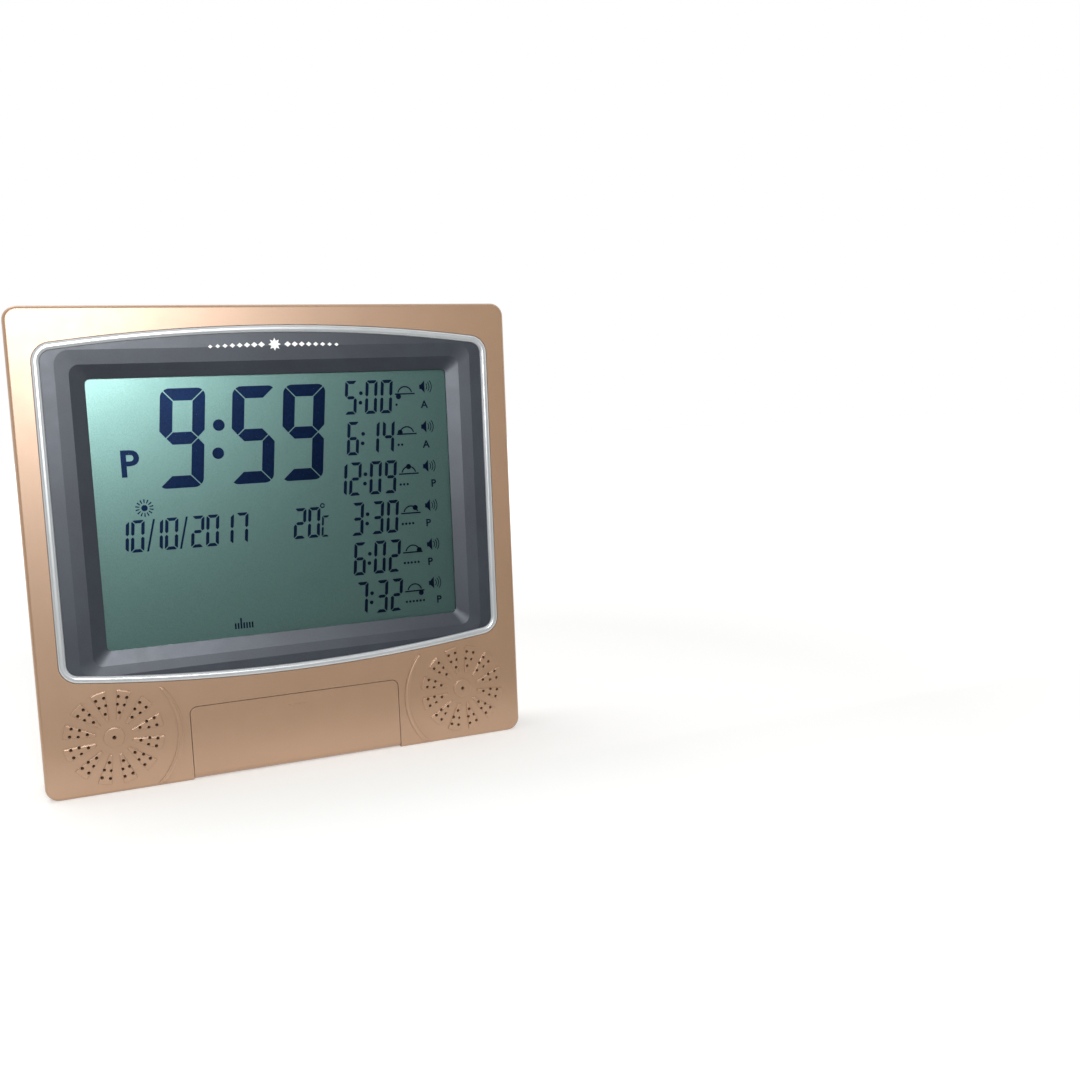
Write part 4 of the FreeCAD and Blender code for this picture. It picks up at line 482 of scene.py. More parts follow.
cone_paper = usual_finish("pressed_black_paper", "1B1B1C", 0.0, 0.85, (1.5, "171718", "212122"),
                          grain=(0.5, 0.04, 5.0))

gasket_felt, tree, surface, place = start_finish("black_felt", "151516", 0.0, 0.95)
surface.inputs["Sheen Weight"].default_value = 0.3
drift_colour(tree, surface, place, 0.8, "121213", "1C1C1D")
add_grain(tree, surface, place, 0.5, 0.08, 5.0)
print("electronics finishes: 5")

# %% [markdown]
# The cells are plain: a dark jacket with a brown band towards each end, and a bare steel
# shoulder past it. The finish reads how far along the clock's width a point lies.

# %% Cell jacket
BAND_STARTS = 15.0
JACKET_ENDS = 23.0
cell_jacket, tree, surface, place = start_finish("cell_jacket_and_can", "20242B", 0.0, 0.25)
along = add_node(tree, "ShaderNodeSeparateXYZ", links={"Vector": place})
distance = add_node(tree, "ShaderNodeMath", operation="ABSOLUTE", links={0: along.outputs[0]})
shoulder = add_node(tree, "ShaderNodeMath", {1: JACKET_ENDS * MM}, {0: distance.outputs[0]},
                    operation="GREATER_THAN")
band = add_node(tree, "ShaderNodeMath", {1: BAND_STARTS * MM}, {0: distance.outputs[0]},
                operation="GREATER_THAN")
jacket = add_node(tree, "ShaderNodeMix", data_type="RGBA")
jacket.inputs[6].default_value = paint("20242B")
jacket.inputs[7].default_value = paint("8E6A3C")
tree.links.new(band.outputs[0], jacket.inputs[0])
can = add_node(tree, "ShaderNodeMix", data_type="RGBA")
can.inputs[7].default_value = paint("BFC0C2")
tree.links.new(jacket.outputs[2], can.inputs[6])
tree.links.new(shoulder.outputs[0], can.inputs[0])
tree.links.new(can.outputs[2], surface.inputs["Base Color"])
tree.links.new(shoulder.outputs[0], surface.inputs["Metallic"])
add_grain(tree, surface, place, 2.0, 0.004)
print(cell_jacket.name)

# %% [markdown]
# ## Dress the solid model
# Each node of the solid model keeps its shape and gets its finish through its material
# slots. The record names the finish of every node, so a table from those names to the
# materials above is enough.

# %% Give every node its finish
FINISHES = {
    "gold_paint": gold_paint, "gold_plastic": gold_plastic, "silver_plating": silver_plating,
    "slate_plastic": slate_lacquer, "clear_acrylic": clear_acrylic, "lcd_glass": display_film,
    "reflector_sheet": reflector_sheet, "white_plastic": white_plastic,
    "strip_rubber": strip_rubber, "circuit_board": circuit_board, "screw_steel": screw_steel,
    "black_resin": black_resin, "can_aluminium": can_aluminium, "dark_plastic": dark_plastic,
    "key_plastic": key_plastic, "keypad_rubber": keypad_rubber, "foot_rubber": foot_rubber,
    "cell_jacket": cell_jacket, "nickel_contact": nickel_contact, "gasket_felt": gasket_felt,
    "basket_steel": basket_steel, "magnet_ferrite": magnet_ferrite, "cone_paper": cone_paper,
}
for part in frame["record"]["subparts"]:
    for slot in frame["nodes"][part["node"]].material_slots:
        slot.material = FINISHES[part["material_slot"]]

# %% [markdown]
# ## The display's segments
# A liquid crystal shows dark figures made of separate segments. Each figure leans five
# degrees. A segment is a thin plate between the glass and the lens, and its ends are
# cut on the slant so that neighbours leave an even gap.

# %% Thin plates
LEAN = math.tan(math.radians(5.0))
SEGMENT_FRONT = 4.83
SEGMENT_BACK = 4.89
DISPLAY_SHIFT = 0.5


def circle_outline(x, z, radius, sides):
    """Points round a circle."""
    turns = [math.tau * index / sides for index in range(sides)]
    return [(x + radius * math.cos(turn), z + radius * math.sin(turn)) for turn in turns]


def close_plate(mesh, front, back):
    """The faces of a plate between two rings of vertices."""
    mesh.faces.new(front)
    mesh.faces.new(back[::-1])
    for index in range(len(front)):
        after = (index + 1) % len(front)
        mesh.faces.new([front[after], front[index], back[index], back[after]])


def add_plate(mesh, outline):
    """A thin upright plate with this outline, given as x and height over the panel's middle."""
    area = sum(a[0] * b[1] - b[0] * a[1] for a, b in zip(outline, outline[1:] + outline[:1]))
    points = outline if area > 0 else outline[::-1]
    rings = []
    for depth in (SEGMENT_FRONT, SEGMENT_BACK):
        rings.append([mesh.verts.new(place_at(x + DISPLAY_SHIFT, z + PANEL_MIDDLE, depth))
                      for x, z in points])
    close_plate(mesh, *rings)


def round_plate(mesh, x, z, radius, sides=24):
    """A round plate."""
    add_plate(mesh, circle_outline(x, z, radius, sides))


segment_mesh = bmesh.new()
print("plates are", round(SEGMENT_BACK - SEGMENT_FRONT, 3), "mm thick")

# %% [markdown]
# A figure has seven segments. Only three outlines are drawn: the top bar, the upper right
# bar and the middle bar. The others are those three mirrored left to right or top to bottom.

# %% Outlines of the segments
CORNER_BEND = 0.62
SIDE_FOOT = 0.55


def corner_arc(width, height, bend, turns):
    """Points on the rounded upper right corner, at these angles in degrees."""
    return [(width - bend + bend * math.cos(math.radians(turn)),
             height - bend + bend * math.sin(math.radians(turn))) for turn in turns]


def segment_outlines(width, height, bar, gap):
    """The outline of each segment, for a figure whose lower left corner is the origin."""
    bend = bar * CORNER_BEND
    middle = height / 2
    right = [(x - gap, z) for x, z in corner_arc(width, height, bend, (45, 60, 75, 90))]
    top = right + [(width - x, z) for x, z in right[::-1]]
    top += [(bar + gap, height - bar), (width - bar - gap, height - bar)]
    side = [(x, z - gap) for x, z in corner_arc(width, height, bend, (45, 30, 15, 0))]
    side += [(width, middle + bar * SIDE_FOOT + gap), (width - bar / 2, middle + gap)]
    side += [(width - bar, middle + bar / 2 + gap), (width - bar, height - bar - gap)]
    cross = [(bar / 2 + gap, middle), (bar + gap, middle + bar / 2),
             (width - bar - gap, middle + bar / 2), (width - bar / 2 - gap, middle),
             (width - bar - gap, middle - bar / 2), (bar + gap, middle - bar / 2)]
    return {
        "a": top, "d": [(x, height - z) for x, z in top], "g": cross, "b": side,
        "c": [(x, height - z) for x, z in side], "f": [(width - x, z) for x, z in side],
        "e": [(width - x, height - z) for x, z in side],
    }


print("outlines:", ", ".join(sorted(segment_outlines(1.0, 2.0, 0.2, 0.01))))

# %% Figures with seven segments
LIT = {"0": "abcdef", "1": "bc", "2": "abdeg", "3": "abcdg", "4": "bcfg", "5": "acdfg",
       "6": "acdefg", "7": "abc", "9": "abcdfg", "C": "adef"}
# Each size is a figure's width and height, its bar's width and the gap at a bar's end.
TIME_SIZE = (20.6, 46.7, 5.8, 0.32)
DATE_SIZE = (6.0, 15.1, 1.5, 0.3)
UNIT_SIZE = (3.9, 10.6, 1.0, 0.2)
TIME_LOW = 28.0
DATE_LOW = -0.8
SLASH = [(0.0, -0.8), (0.95, -0.8), (4.7, 14.3), (3.75, 14.3)]


def add_figure(mesh, figure, left, low, width, height, bar, gap):
    """One leaning figure."""
    outlines = segment_outlines(width, height, bar, gap)
    for name in LIT[figure]:
        add_plate(mesh, [(left + x + z * LEAN, low + z) for x, z in outlines[name]])


def moved_to(outline, x, z):
    """An outline about the origin, moved to a place."""
    return [(x + across, z + up) for across, up in outline]


for figure, left in (("9", -58.1), ("5", -24.95), ("9", -0.75)):
    add_figure(segment_mesh, figure, left, TIME_LOW, *TIME_SIZE)
for x, z in ((-28.5, 56.7), (-29.7, 43.4)):
    round_plate(segment_mesh, x, z, 2.75, 40)
for figure, left in (("1", -79.5), ("0", -72.6), ("1", -64.3), ("0", -57.4), ("2", -45.4),
                     ("0", -38.5), ("1", -31.6), ("7", -24.7), ("2", 3.5), ("0", 10.5)):
    add_figure(segment_mesh, figure, left, DATE_LOW, *DATE_SIZE)
for x in (-65.4, -50.5):
    add_plate(segment_mesh, moved_to(SLASH, x, 0.0))
add_figure(segment_mesh, "C", 17.4, DATE_LOW, *UNIT_SIZE)
print("segments of the clock and date:", len(segment_mesh.faces))

# %% [markdown]
# Six small times stand in a column at the right. Beside each one are a little loudspeaker,
# a picture of where the sun stands on its daily path, and one to six dots that number the row.

# %% Signs beside the small times
LOUDSPEAKER = [(0.0, -1.1), (0.9, -1.1), (2.7, -3.1), (2.7, 3.1), (0.9, 1.1), (0.0, 1.1)]
WAVE_RADII = (2.2, 3.4, 4.6)
WAVE_WIDTH = 0.42
WAVE_ANGLE = 38
HORIZON = [(-5.2, -0.35), (5.2, -0.35), (5.2, 0.35), (-5.2, 0.35)]
PATH_RADII = (3.3, 3.95)
SUN_DISTANCE = 3.6
SUN_RADIUS = 1.35


def ring_piece(mesh, x, z, inner, outer, start, end, steps):
    """A flat piece of a ring between two angles in degrees."""
    turns = [math.radians(start + (end - start) * index / steps) for index in range(steps + 1)]
    outline = [(x + outer * math.cos(turn), z + outer * math.sin(turn)) for turn in turns]
    outline += [(x + inner * math.cos(turn), z + inner * math.sin(turn)) for turn in turns[::-1]]
    add_plate(mesh, outline)


def loudspeaker_sign(mesh, x, z):
    """A small loudspeaker with three sound waves."""
    add_plate(mesh, moved_to(LOUDSPEAKER, x, z))
    for radius in WAVE_RADII:
        ring_piece(mesh, x + 1.6, z, radius, radius + WAVE_WIDTH, -WAVE_ANGLE, WAVE_ANGLE, 8)


def sun_path_sign(mesh, x, z, turn):
    """The horizon, the sun's path over it and the sun at this angle along the path."""
    add_plate(mesh, moved_to(HORIZON, x, z))
    ring_piece(mesh, x, z, *PATH_RADII, 12, 168, 16)
    spot = math.radians(turn)
    round_plate(mesh, x + SUN_DISTANCE * math.cos(spot), z + SUN_DISTANCE * math.sin(spot),
                SUN_RADIUS, 16)


print("signs: a loudspeaker and a sun's path")

# %% Rows of small times
ROW_PITCH = 20.2
ROW_LOW = 59.0
SMALL_SIZE = (6.1, 16.6, 1.55, 0.28)
TIMES = (("  500", 200), (" 614", 165), ("1209", 90), (" 330", 48), (" 602", 15), (" 732", -20))
COLUMNS = (25.2, 32.5, 42.9, 50.7)
COLON = ((41.5, 10.4), (41.0, 5.7))
DOT_PITCH = 1.85
for row, (figures, turn) in enumerate(TIMES):
    low = ROW_LOW - ROW_PITCH * row
    for figure, left in zip(figures.strip()[::-1], COLUMNS[::-1]):
        add_figure(segment_mesh, figure, left, low, *SMALL_SIZE)
    for x, up in COLON:
        round_plate(segment_mesh, x, low + up, 0.95)
    loudspeaker_sign(segment_mesh, 72.0, low + 12.6)
    sun_path_sign(segment_mesh, 64.2, low + 9.3, turn)
    for dot in range(row + 1):
        round_plate(segment_mesh, 59.6 + dot * DOT_PITCH, low + 4.0, 0.62, 12)
print("faces with the small times:", len(segment_mesh.faces))

# %% [markdown]
# Seven small bars at the display's bottom stand for the days of the week, and today's is the
# tall one. A small ring beside the temperature is its degree sign.

# %% Days of the week and degree sign
TODAY = 2
BAR_WIDTH = 0.75
BAR_PITCH = 1.35
BAR_LOW = -42.3
for day in range(7):
    top = -37.0 if day == TODAY else -39.4
    x = -27.6 + day * BAR_PITCH
    add_plate(segment_mesh, [(x, BAR_LOW), (x + BAR_WIDTH, BAR_LOW),
                             (x + BAR_WIDTH, top), (x, top)])
ring_piece(segment_mesh, 18.8, 14.8, 0.65, 1.25, 0, 350, 24)
print("faces with the bars:", len(segment_mesh.faces))

# %% [markdown]
# Morning and afternoon are marked by a plain letter. Blender's own font gives its outline,
# which is made a mesh and laid flat between the lens and the glass.

# %% Morning and afternoon letters
STROKE_GAIN = 0.022
MARKS = (("A", 72.3), ("A", 72.3), ("P", 76.0), ("P", 72.2), ("P", 72.2), ("P", 76.0))


def add_letter(mesh, letter, left, low, height):
    """A letter of this height from the built-in font, as a thin plate."""
    curve = bpy.data.curves.new("letter", "FONT")
    curve.body = letter
    curve.resolution_u = 4
    curve.offset = STROKE_GAIN
    curve.extrude = (SEGMENT_BACK - SEGMENT_FRONT) / 2
    text = bpy.data.objects.new("letter", curve)
    bpy.context.scene.collection.objects.link(text)
    evaluated = text.evaluated_get(bpy.context.evaluated_depsgraph_get())
    flat = bpy.data.meshes.new_from_object(evaluated)
    bpy.data.objects.remove(text)
    tall = max(vertex.co.y for vertex in flat.vertices)
    start = min(vertex.co.x for vertex in flat.vertices)
    middle = (SEGMENT_FRONT + SEGMENT_BACK) / 2
    for vertex in flat.vertices:
        x = left + (vertex.co.x - start) * height / tall
        z = low + vertex.co.y * height / tall
        vertex.co = place_at(x + DISPLAY_SHIFT, z + PANEL_MIDDLE, middle - vertex.co.z)
    mesh.from_mesh(flat)
    bpy.data.meshes.remove(flat)


add_letter(segment_mesh, "P", -73.8, 34.8, 12.2)
for row, (letter, left) in enumerate(MARKS):
    add_letter(segment_mesh, letter, left, ROW_LOW - ROW_PITCH * row + 1.9, 3.7)
print("faces with the letters:", len(segment_mesh.faces))

# %% [markdown]
# A small sun stands over the date. Its rays repeat round a circle, which is work for
# Geometry Nodes: one ray, drawn once, is placed on the points of a circle and turned to
# face outwards.

# %% Start and end of a tree


def start_tree(name, inputs):
    """A tree with geometry in and out and these inputs, its input node and their identifiers."""
    tree = bpy.data.node_groups.new(name, "GeometryNodeTree")
    tree.interface.new_socket("Geometry", in_out="INPUT", socket_type="NodeSocketGeometry")
    sockets = [tree.interface.new_socket(label, in_out="INPUT", socket_type="NodeSocket" + kind)
               for label, kind in inputs]
    tree.interface.new_socket("Geometry", in_out="OUTPUT", socket_type="NodeSocketGeometry")
    return tree, add_node(tree, "NodeGroupInput"), [socket.identifier for socket in sockets]


def end_tree(tree, copies, material):
    """Makes the copies real, gives them their finish and hands them out."""
    real = add_node(tree, "GeometryNodeRealizeInstances", links={"Geometry": copies})
    dressed = add_node(tree, "GeometryNodeSetMaterial", links={"Geometry": real.outputs[0]})
    dressed.inputs["Material"].default_value = material
    add_node(tree, "NodeGroupOutput", links={"Geometry": dressed.outputs[0]})


print("a tree ends in real copies that carry their finish")

# %% A tree that places copies round a circle


def circle_tree(name, material):
    """A tree that copies its own mesh round a circle that stands upright."""
    tree, given, (count, centre) = start_tree(name, (("Count", "Int"), ("Centre", "Vector")))
    line = add_node(tree, "GeometryNodeMeshLine", {"Offset": (0, 0, 0)},
                    {"Count": given.outputs["Count"]})
    index = add_node(tree, "GeometryNodeInputIndex")
    share = add_node(tree, "ShaderNodeMath", operation="DIVIDE",
                     links={0: index.outputs[0], 1: given.outputs["Count"]})
    turn = add_node(tree, "ShaderNodeMath", {1: math.tau}, {0: share.outputs[0]},
                    operation="MULTIPLY")
    facing = add_node(tree, "ShaderNodeCombineXYZ", links={"Y": turn.outputs[0]})
    copies = add_node(tree, "GeometryNodeInstanceOnPoints",
                      links={"Points": line.outputs[0], "Instance": given.outputs["Geometry"],
                             "Rotation": facing.outputs[0]})
    placed = add_node(tree, "GeometryNodeTranslateInstances", {"Local Space": False},
                      {"Instances": copies.outputs[0], "Translation": given.outputs["Centre"]})
    end_tree(tree, placed.outputs[0], material)
    return tree, count, centre


print("circle tree ready")

# %% Objects from meshes built by hand


def mesh_object(name, mesh_builder):
    """A new object at the origin, made from a mesh that was built by hand."""
    mesh = bpy.data.meshes.new(name)
    mesh_builder.to_mesh(mesh)
    mesh_builder.free()
    piece = bpy.data.objects.new(name, mesh)
    bpy.context.scene.collection.objects.link(piece)
    return piece


def bake_modifiers(piece):
    """Turns what the modifiers make into the piece's own plain mesh."""
    evaluated = piece.evaluated_get(bpy.context.evaluated_depsgraph_get())
    mesh = bpy.data.meshes.new_from_object(evaluated)
    piece.modifiers.clear()
    piece.data = mesh


def add_ring(mesh, outline, depth):
    """New vertices along an outline about the origin."""
    return [mesh.verts.new((x * MM, depth * MM, z * MM)) for x, z in outline]


def flat_shape(name, outline, thickness):
    """A thin plate about the origin that faces the viewer."""
    builder = bmesh.new()
    front = add_ring(builder, outline, -thickness / 2)
    close_plate(builder, front, add_ring(builder, outline, thickness / 2))
    return mesh_object(name, builder)


print("object helpers ready")

# %% The small sun
SUN_X = -65.0
SUN_Z = 19.7
RAY = [(-0.22, 2.3), (0.22, 2.3), (0.34, 4.1), (-0.34, 4.1)]
rays_tree, count_id, centre_id = circle_tree("sun_rays", segment_ink)
sun_rays = flat_shape("sun_rays", RAY, SEGMENT_BACK - SEGMENT_FRONT)
modifier = sun_rays.modifiers.new("circle", "NODES")
modifier.node_group = rays_tree
modifier[count_id] = 14
modifier[centre_id] = place_at(SUN_X + DISPLAY_SHIFT, PANEL_MIDDLE + SUN_Z,
                               (SEGMENT_FRONT + SEGMENT_BACK) / 2)
bake_modifiers(sun_rays)
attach(sun_rays, "clock_case")
round_plate(segment_mesh, SUN_X, SUN_Z, 1.45, 24)
print("sun rays:", len(sun_rays.data.polygons), "faces")

# %% Finish the segments
display_segments = mesh_object("display_segments", segment_mesh)
display_segments.data.materials.append(segment_ink)
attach(display_segments, "clock_case")
print("display segments:", len(display_segments.data.polygons), "faces")

# %% [markdown]
# ## Ornament on the bezel
# The middle of the bezel's upper border carries a printed line that follows its bow. Here
# it is a plain row of lozenges with an eight-pointed star in the middle. A ray cast finds
# where each one meets the bezel, so the print lies on the lacquer.

# %% Places along the bow
bpy.context.view_layer.update()
BOW_RADIUS = 771.0
ORNAMENT_HEIGHT = 94.0
CAST_DEPTH = -20.0


def bow_height(x):
    """The height of the ornament's line at x."""
    return PANEL_MIDDLE + ORNAMENT_HEIGHT - (BOW_RADIUS - math.sqrt(BOW_RADIUS ** 2 - x * x))


def on_bezel(x, height):
    """Where a line straight back meets the bezel."""
    start = place_at(x, height, CAST_DEPTH)
    found, spot, _, _ = frame["nodes"]["dark_bezel"].ray_cast(start, Vector((0, 1, 0)))
    print("ornament at x", round(x, 1), "lies on the bezel" if found else "misses the bezel")
    return spot


print("line falls", round(bow_height(0) - bow_height(30), 2), "mm over 30 mm")

# %% Printed white
print_white = usual_finish("screen_printed_white", "E6E6E4", 0.0, 0.5, (1.0, "E2E2E0", "EAEAE8"),
                           grain=(0.4, 0.004))
print(print_white.name)

# %% [markdown]
# The lozenge is drawn once and Geometry Nodes set a copy on each point of the line. The
# copies grow smaller towards the ends, by a size that each point carries.

# %% A tree that sets copies on points


def row_tree(name, material):
    """A tree that sets a copy of one shape on every vertex, at the size the vertex carries."""
    tree, given, (shape, scale) = start_tree(name, (("Shape", "Object"), ("Size", "Float")))
    picked = add_node(tree, "GeometryNodeObjectInfo", links={"Object": given.outputs["Shape"]})
    carried = add_node(tree, "GeometryNodeInputNamedAttribute", {"Name": "size"})
    sized = add_node(tree, "ShaderNodeMath", operation="MULTIPLY",
                     links={0: carried.outputs[0], 1: given.outputs["Size"]})
    copies = add_node(tree, "GeometryNodeInstanceOnPoints",
                      links={"Points": given.outputs["Geometry"], "Scale": sized.outputs[0],
                             "Instance": picked.outputs["Geometry"]})
    end_tree(tree, copies.outputs[0], material)
    return tree, shape, scale


print("row tree ready")

# %% Lozenge and star
PRINT_THICKNESS = 0.08
LOZENGE = [(-1.6, 0), (0, -1.3), (1.6, 0), (0, 1.3)]
STAR_TIP = 3.0
STAR_NOTCH = 1.75
STAR_CORNERS = 16
lozenge = flat_shape("lozenge", LOZENGE, PRINT_THICKNESS)
star_outline = []
for corner in range(STAR_CORNERS):
    reach = STAR_TIP if corner % 2 == 0 else STAR_NOTCH
    turn = math.tau * corner / STAR_CORNERS + math.pi / 2
    star_outline.append((reach * math.cos(turn), reach * math.sin(turn)))
star = flat_shape("star", star_outline, PRINT_THICKNESS)
print("lozenge and star are", PRINT_THICKNESS, "mm thick")

# %% Row of lozenges and the middle star
LOZENGES = 8
FIRST_LOZENGE = 6.2
LOZENGE_PITCH = 3.4
SHRINK = 0.05
line = bpy.data.meshes.new("ornament")
spots, sizes = [], []
for side in (-1, 1):
    for step in range(LOZENGES):
        x = side * (FIRST_LOZENGE + LOZENGE_PITCH * step)
        spots.append(on_bezel(x, bow_height(x)))
        sizes.append(1.0 - SHRINK * step)
line.from_pydata(spots, [], [])
line.attributes.new("size", "FLOAT", "POINT").data.foreach_set("value", sizes)
ornament = bpy.data.objects.new("bezel_lozenges", line)
bpy.context.scene.collection.objects.link(ornament)
tree, shape_id, size_id = row_tree("lozenge_row", print_white)
modifier = ornament.modifiers.new("row", "NODES")
modifier.node_group = tree
modifier[shape_id] = lozenge
modifier[size_id] = 1.0
bake_modifiers(ornament)
middle = on_bezel(0, bow_height(0))
for vertex in star.data.vertices:
    vertex.co += middle
star.name = "bezel_star"
star.data.materials.append(print_white)
bpy.data.objects.remove(lozenge)
for piece in (ornament, star):
    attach(piece, "clock_case")
print("ornament:", len(ornament.data.polygons), "and", len(star.data.polygons), "faces")

# %% [markdown]
# ## Soft edges of the speaker grilles
# Each grille has twelve raised wedges with five holes, round a raised hub. The solid model
# has them with square edges, but the paint runs softly over them and each edge catches the
# light. So a wedge is drawn once as a solid pad with a rounded rim.

# %% Raised pads
SPEAKER_X = 86.35
SPEAKER_HEIGHT = 26.75
PAD_FRONT = -0.82
PAD_BACK = 0.4
PAD_BEVEL = 0.32


def moved_inward(outline, amount):
    """The outline with every edge moved to its left by this much."""
    moved = []
    for index, point in enumerate(outline):
        here = Vector(point)
        before = (here - Vector(outline[index - 1])).normalized()
        after = (Vector(outline[(index + 1) % len(outline)]) - here).normalized()
        middle = Vector((-before.y - after.y, before.x + after.x)).normalized()
        moved.append(here + middle * amount / middle.dot(Vector((-after.y, after.x))))
    return moved


def close_rows(mesh, rows):
    """The faces of a closed solid through rows of vertices, from its back to its front."""
    for low, high in zip(rows, rows[1:]):
        for index in range(len(low)):
            after = (index + 1) % len(low)
            mesh.faces.new((low[index], low[after], high[after], high[index]))
    mesh.faces.new(rows[0][::-1])
    mesh.faces.new(rows[-1])


def raised_pad(name, outline):
    """A solid pad with a rounded rim about the origin. Its outline runs left round."""
    rim = [(0.0, PAD_BACK), (0.0, PAD_FRONT + PAD_BEVEL)]
    for turn in (math.radians(angle) for angle in (30, 60, 90)):
        rim.append((PAD_BEVEL * (1 - math.cos(turn)), PAD_FRONT + PAD_BEVEL * (1 - math.sin(turn))))
    builder = bmesh.new()
    close_rows(builder, [add_ring(builder, moved_inward(outline, inward), depth)
                         for inward, depth in rim])
    return mesh_object(name, builder)


print("pads stand", -PAD_FRONT, "mm out of the panel")

# %% [markdown]
# A Boolean drills the holes through a pad. It needs closed solids on both sides, and then
# also copes with the outer holes, which reach into the wedge's rounded rim. The cutters
# flare towards the viewer, so that each hole gets a soft rim as well.

# %% Drilled pads
CUTTER_SIDES = 12
FLARE_DEPTH = 0.3
CUTTER_OVERRUN = 0.1
CUTTER_BACK = PAD_BACK + 0.5


def hole_cutter(name, holes, radius, rim_radius):
    """Round cutters that flare towards the viewer, one for each hole."""
    builder = bmesh.new()
    steps = ((radius, CUTTER_BACK), (radius, PAD_FRONT + FLARE_DEPTH),
             (rim_radius, PAD_FRONT - CUTTER_OVERRUN))
    for x, z in holes:
        close_rows(builder, [add_ring(builder, circle_outline(x, z, reach, CUTTER_SIDES), depth)
                             for reach, depth in steps])
    return mesh_object(name, builder)


def drilled_pad(name, outline, holes, radius, rim_radius):
    """A raised pad with its holes cut through."""
    pad = raised_pad(name, outline)
    cutter = hole_cutter(name + "_cutter", holes, radius, rim_radius)
    drill = pad.modifiers.new("drill", "BOOLEAN")
    drill.operation = "DIFFERENCE"
    drill.solver = "EXACT"
    drill.object = cutter
    bake_modifiers(pad)
    bpy.data.objects.remove(cutter)
    return pad


print("holes flare over", FLARE_DEPTH, "mm")

# %% Outline and holes of a wedge
WEDGE_INNER = 8.4
WEDGE_OUTER = 22.5
WEDGE_HALF_ANGLE = 8.3
WEDGE_TURN = 15.0


def turned(points, degrees):
    """The points turned left round the origin."""
    cosine, sine = math.cos(math.radians(degrees)), math.sin(math.radians(degrees))
    return [(x * cosine - z * sine, x * sine + z * cosine) for x, z in points]


wedge_edge = [(WEDGE_INNER, -0.6)]
for angle in (-WEDGE_HALF_ANGLE, -4, 0, 4, WEDGE_HALF_ANGLE):
    turn = math.radians(angle)
    wedge_edge.append((WEDGE_OUTER * math.cos(turn), WEDGE_OUTER * math.sin(turn)))
wedge_edge.append((WEDGE_INNER, 0.6))
wedge_holes = [(12.0, 0.0), (15.73, 1.59), (15.73, -1.59), (19.41, 1.88), (19.41, -1.88)]
print("wedge from", WEDGE_INNER, "to", WEDGE_OUTER, "mm with", len(wedge_holes), "holes")

# %% [markdown]
# The circle tree from the small sun sets the wedge's twelve copies round each hub.

# %% Wedges and hubs of both grilles
WEDGES = 12
HUB_RADIUS = 4.7
WEDGE_HOLE = (0.66, 0.92)
HUB_HOLE = (0.85, 1.1)
wedge_tree, wedge_count, wedge_centre = circle_tree("wedges_round_hub", gold_paint)
for side, name in ((-1, "left"), (1, "right")):
    centre = place_at(side * SPEAKER_X, SPEAKER_HEIGHT, 0)
    wedges = drilled_pad(name + "_grille_wedges", turned(wedge_edge, WEDGE_TURN),
                         turned(wedge_holes, WEDGE_TURN), *WEDGE_HOLE)
    modifier = wedges.modifiers.new("circle", "NODES")
    modifier.node_group = wedge_tree
    modifier[wedge_count] = WEDGES
    modifier[wedge_centre] = centre
    bake_modifiers(wedges)
    hub = drilled_pad(name + "_grille_hub", circle_outline(0, 0, HUB_RADIUS, 40), [(0, 0)],
                      *HUB_HOLE)
    for vertex in hub.data.vertices:
        vertex.co += centre
    hub.data.materials.append(gold_paint)
    for piece in (wedges, hub):
        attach(piece, "clock_case")
    print(name, "grille:", len(wedges.data.polygons) + len(hub.data.polygons), "faces")

# %% [markdown]
# A crescent ridge stands between each grille and the door. It is a strip between two circles
# whose middles differ a little, and its crown is highest where the strip is widest.

# %% Edges of a ridge
RIDGE_LOW = 1.7
RIDGE_HIGH = 47.3
# Each edge's circle: its radius, and how far its middle lies right of and below the speaker's.
DOOR_EDGE = (35.4, 4.0, 1.8)
GRILLE_EDGE = (34.9, 6.2, 0.4)


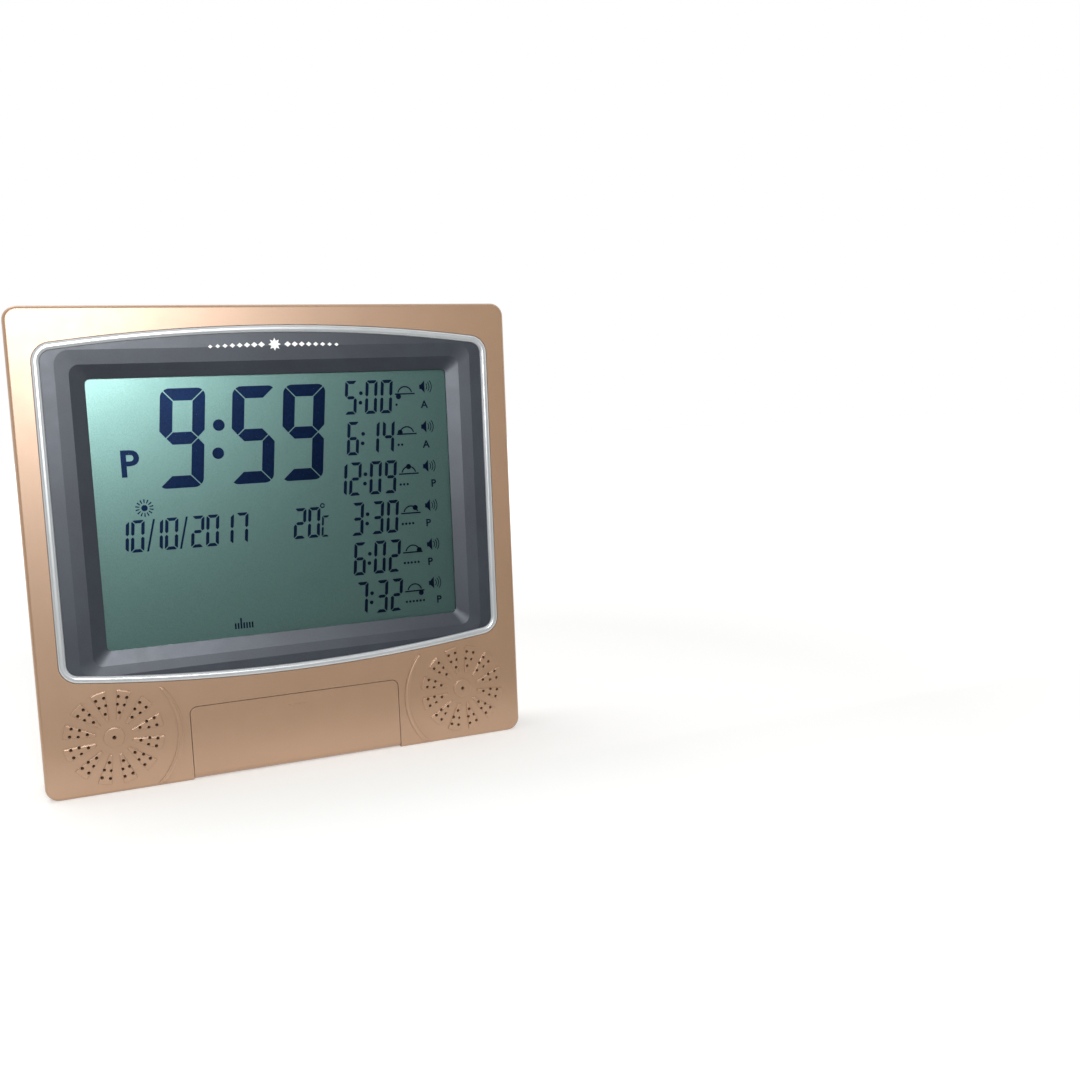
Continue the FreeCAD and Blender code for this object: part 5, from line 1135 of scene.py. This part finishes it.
def ridge_edge(height, radius, right, below):
    """How far one edge of the right ridge lies from the clock's middle plane."""
    return SPEAKER_X + right - math.sqrt(radius ** 2 - (height - SPEAKER_HEIGHT + below) ** 2)


print("ridge at the speaker's height from", round(ridge_edge(SPEAKER_HEIGHT, *DOOR_EDGE), 1),
      "to", round(ridge_edge(SPEAKER_HEIGHT, *GRILLE_EDGE), 1), "mm")

# %% Crescent ridges
RIDGE_STEPS = 64
RIDGE_ACROSS = 8
LEAST_SPREAD = 0.05
HIGHEST_RISE = 0.84
LEAST_RISE = 0.2
RISE_SHARE = 0.5
CROWN_POWER = 0.6
EDGE_LAP = 0.08
EDGE_DEPTH = 0.15
RIDGE_LIFT = 0.13
RIDGE_WALL = 0.3
for side, name in ((-1, "left"), (1, "right")):
    builder = bmesh.new()
    rows = []
    for step in range(RIDGE_STEPS + 1):
        height = RIDGE_LOW + (RIDGE_HIGH - RIDGE_LOW) * step / RIDGE_STEPS
        start = ridge_edge(height, *DOOR_EDGE)
        spread = max(ridge_edge(height, *GRILLE_EDGE) - start, LEAST_SPREAD)
        crown = min(HIGHEST_RISE, LEAST_RISE + RISE_SHARE * spread)
        row = []
        for across in range(RIDGE_ACROSS + 1):
            share = across / RIDGE_ACROSS
            rise = crown * math.sin(math.pi * share) ** CROWN_POWER
            x = start - EDGE_LAP + (spread + 2 * EDGE_LAP) * share
            spot = place_at(side * x, height, EDGE_DEPTH - rise - RIDGE_LIFT)
            row.append(builder.verts.new(spot))
        rows.append(row)
    for low, high in zip(rows, rows[1:]):
        for across in range(RIDGE_ACROSS):
            corners = [low[across], low[across + 1], high[across + 1], high[across]]
            builder.faces.new(corners if side > 0 else corners[::-1])
    ridge = mesh_object(name + "_crescent_ridge", builder)
    shell = ridge.modifiers.new("wall", "SOLIDIFY")
    shell.thickness = RIDGE_WALL * MM
    shell.offset = -1.0
    bake_modifiers(ridge)
    ridge.data.shade_smooth()
    ridge.data.materials.append(gold_paint)
    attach(ridge, "clock_case")
    print(name, "ridge:", len(ridge.data.polygons), "faces")
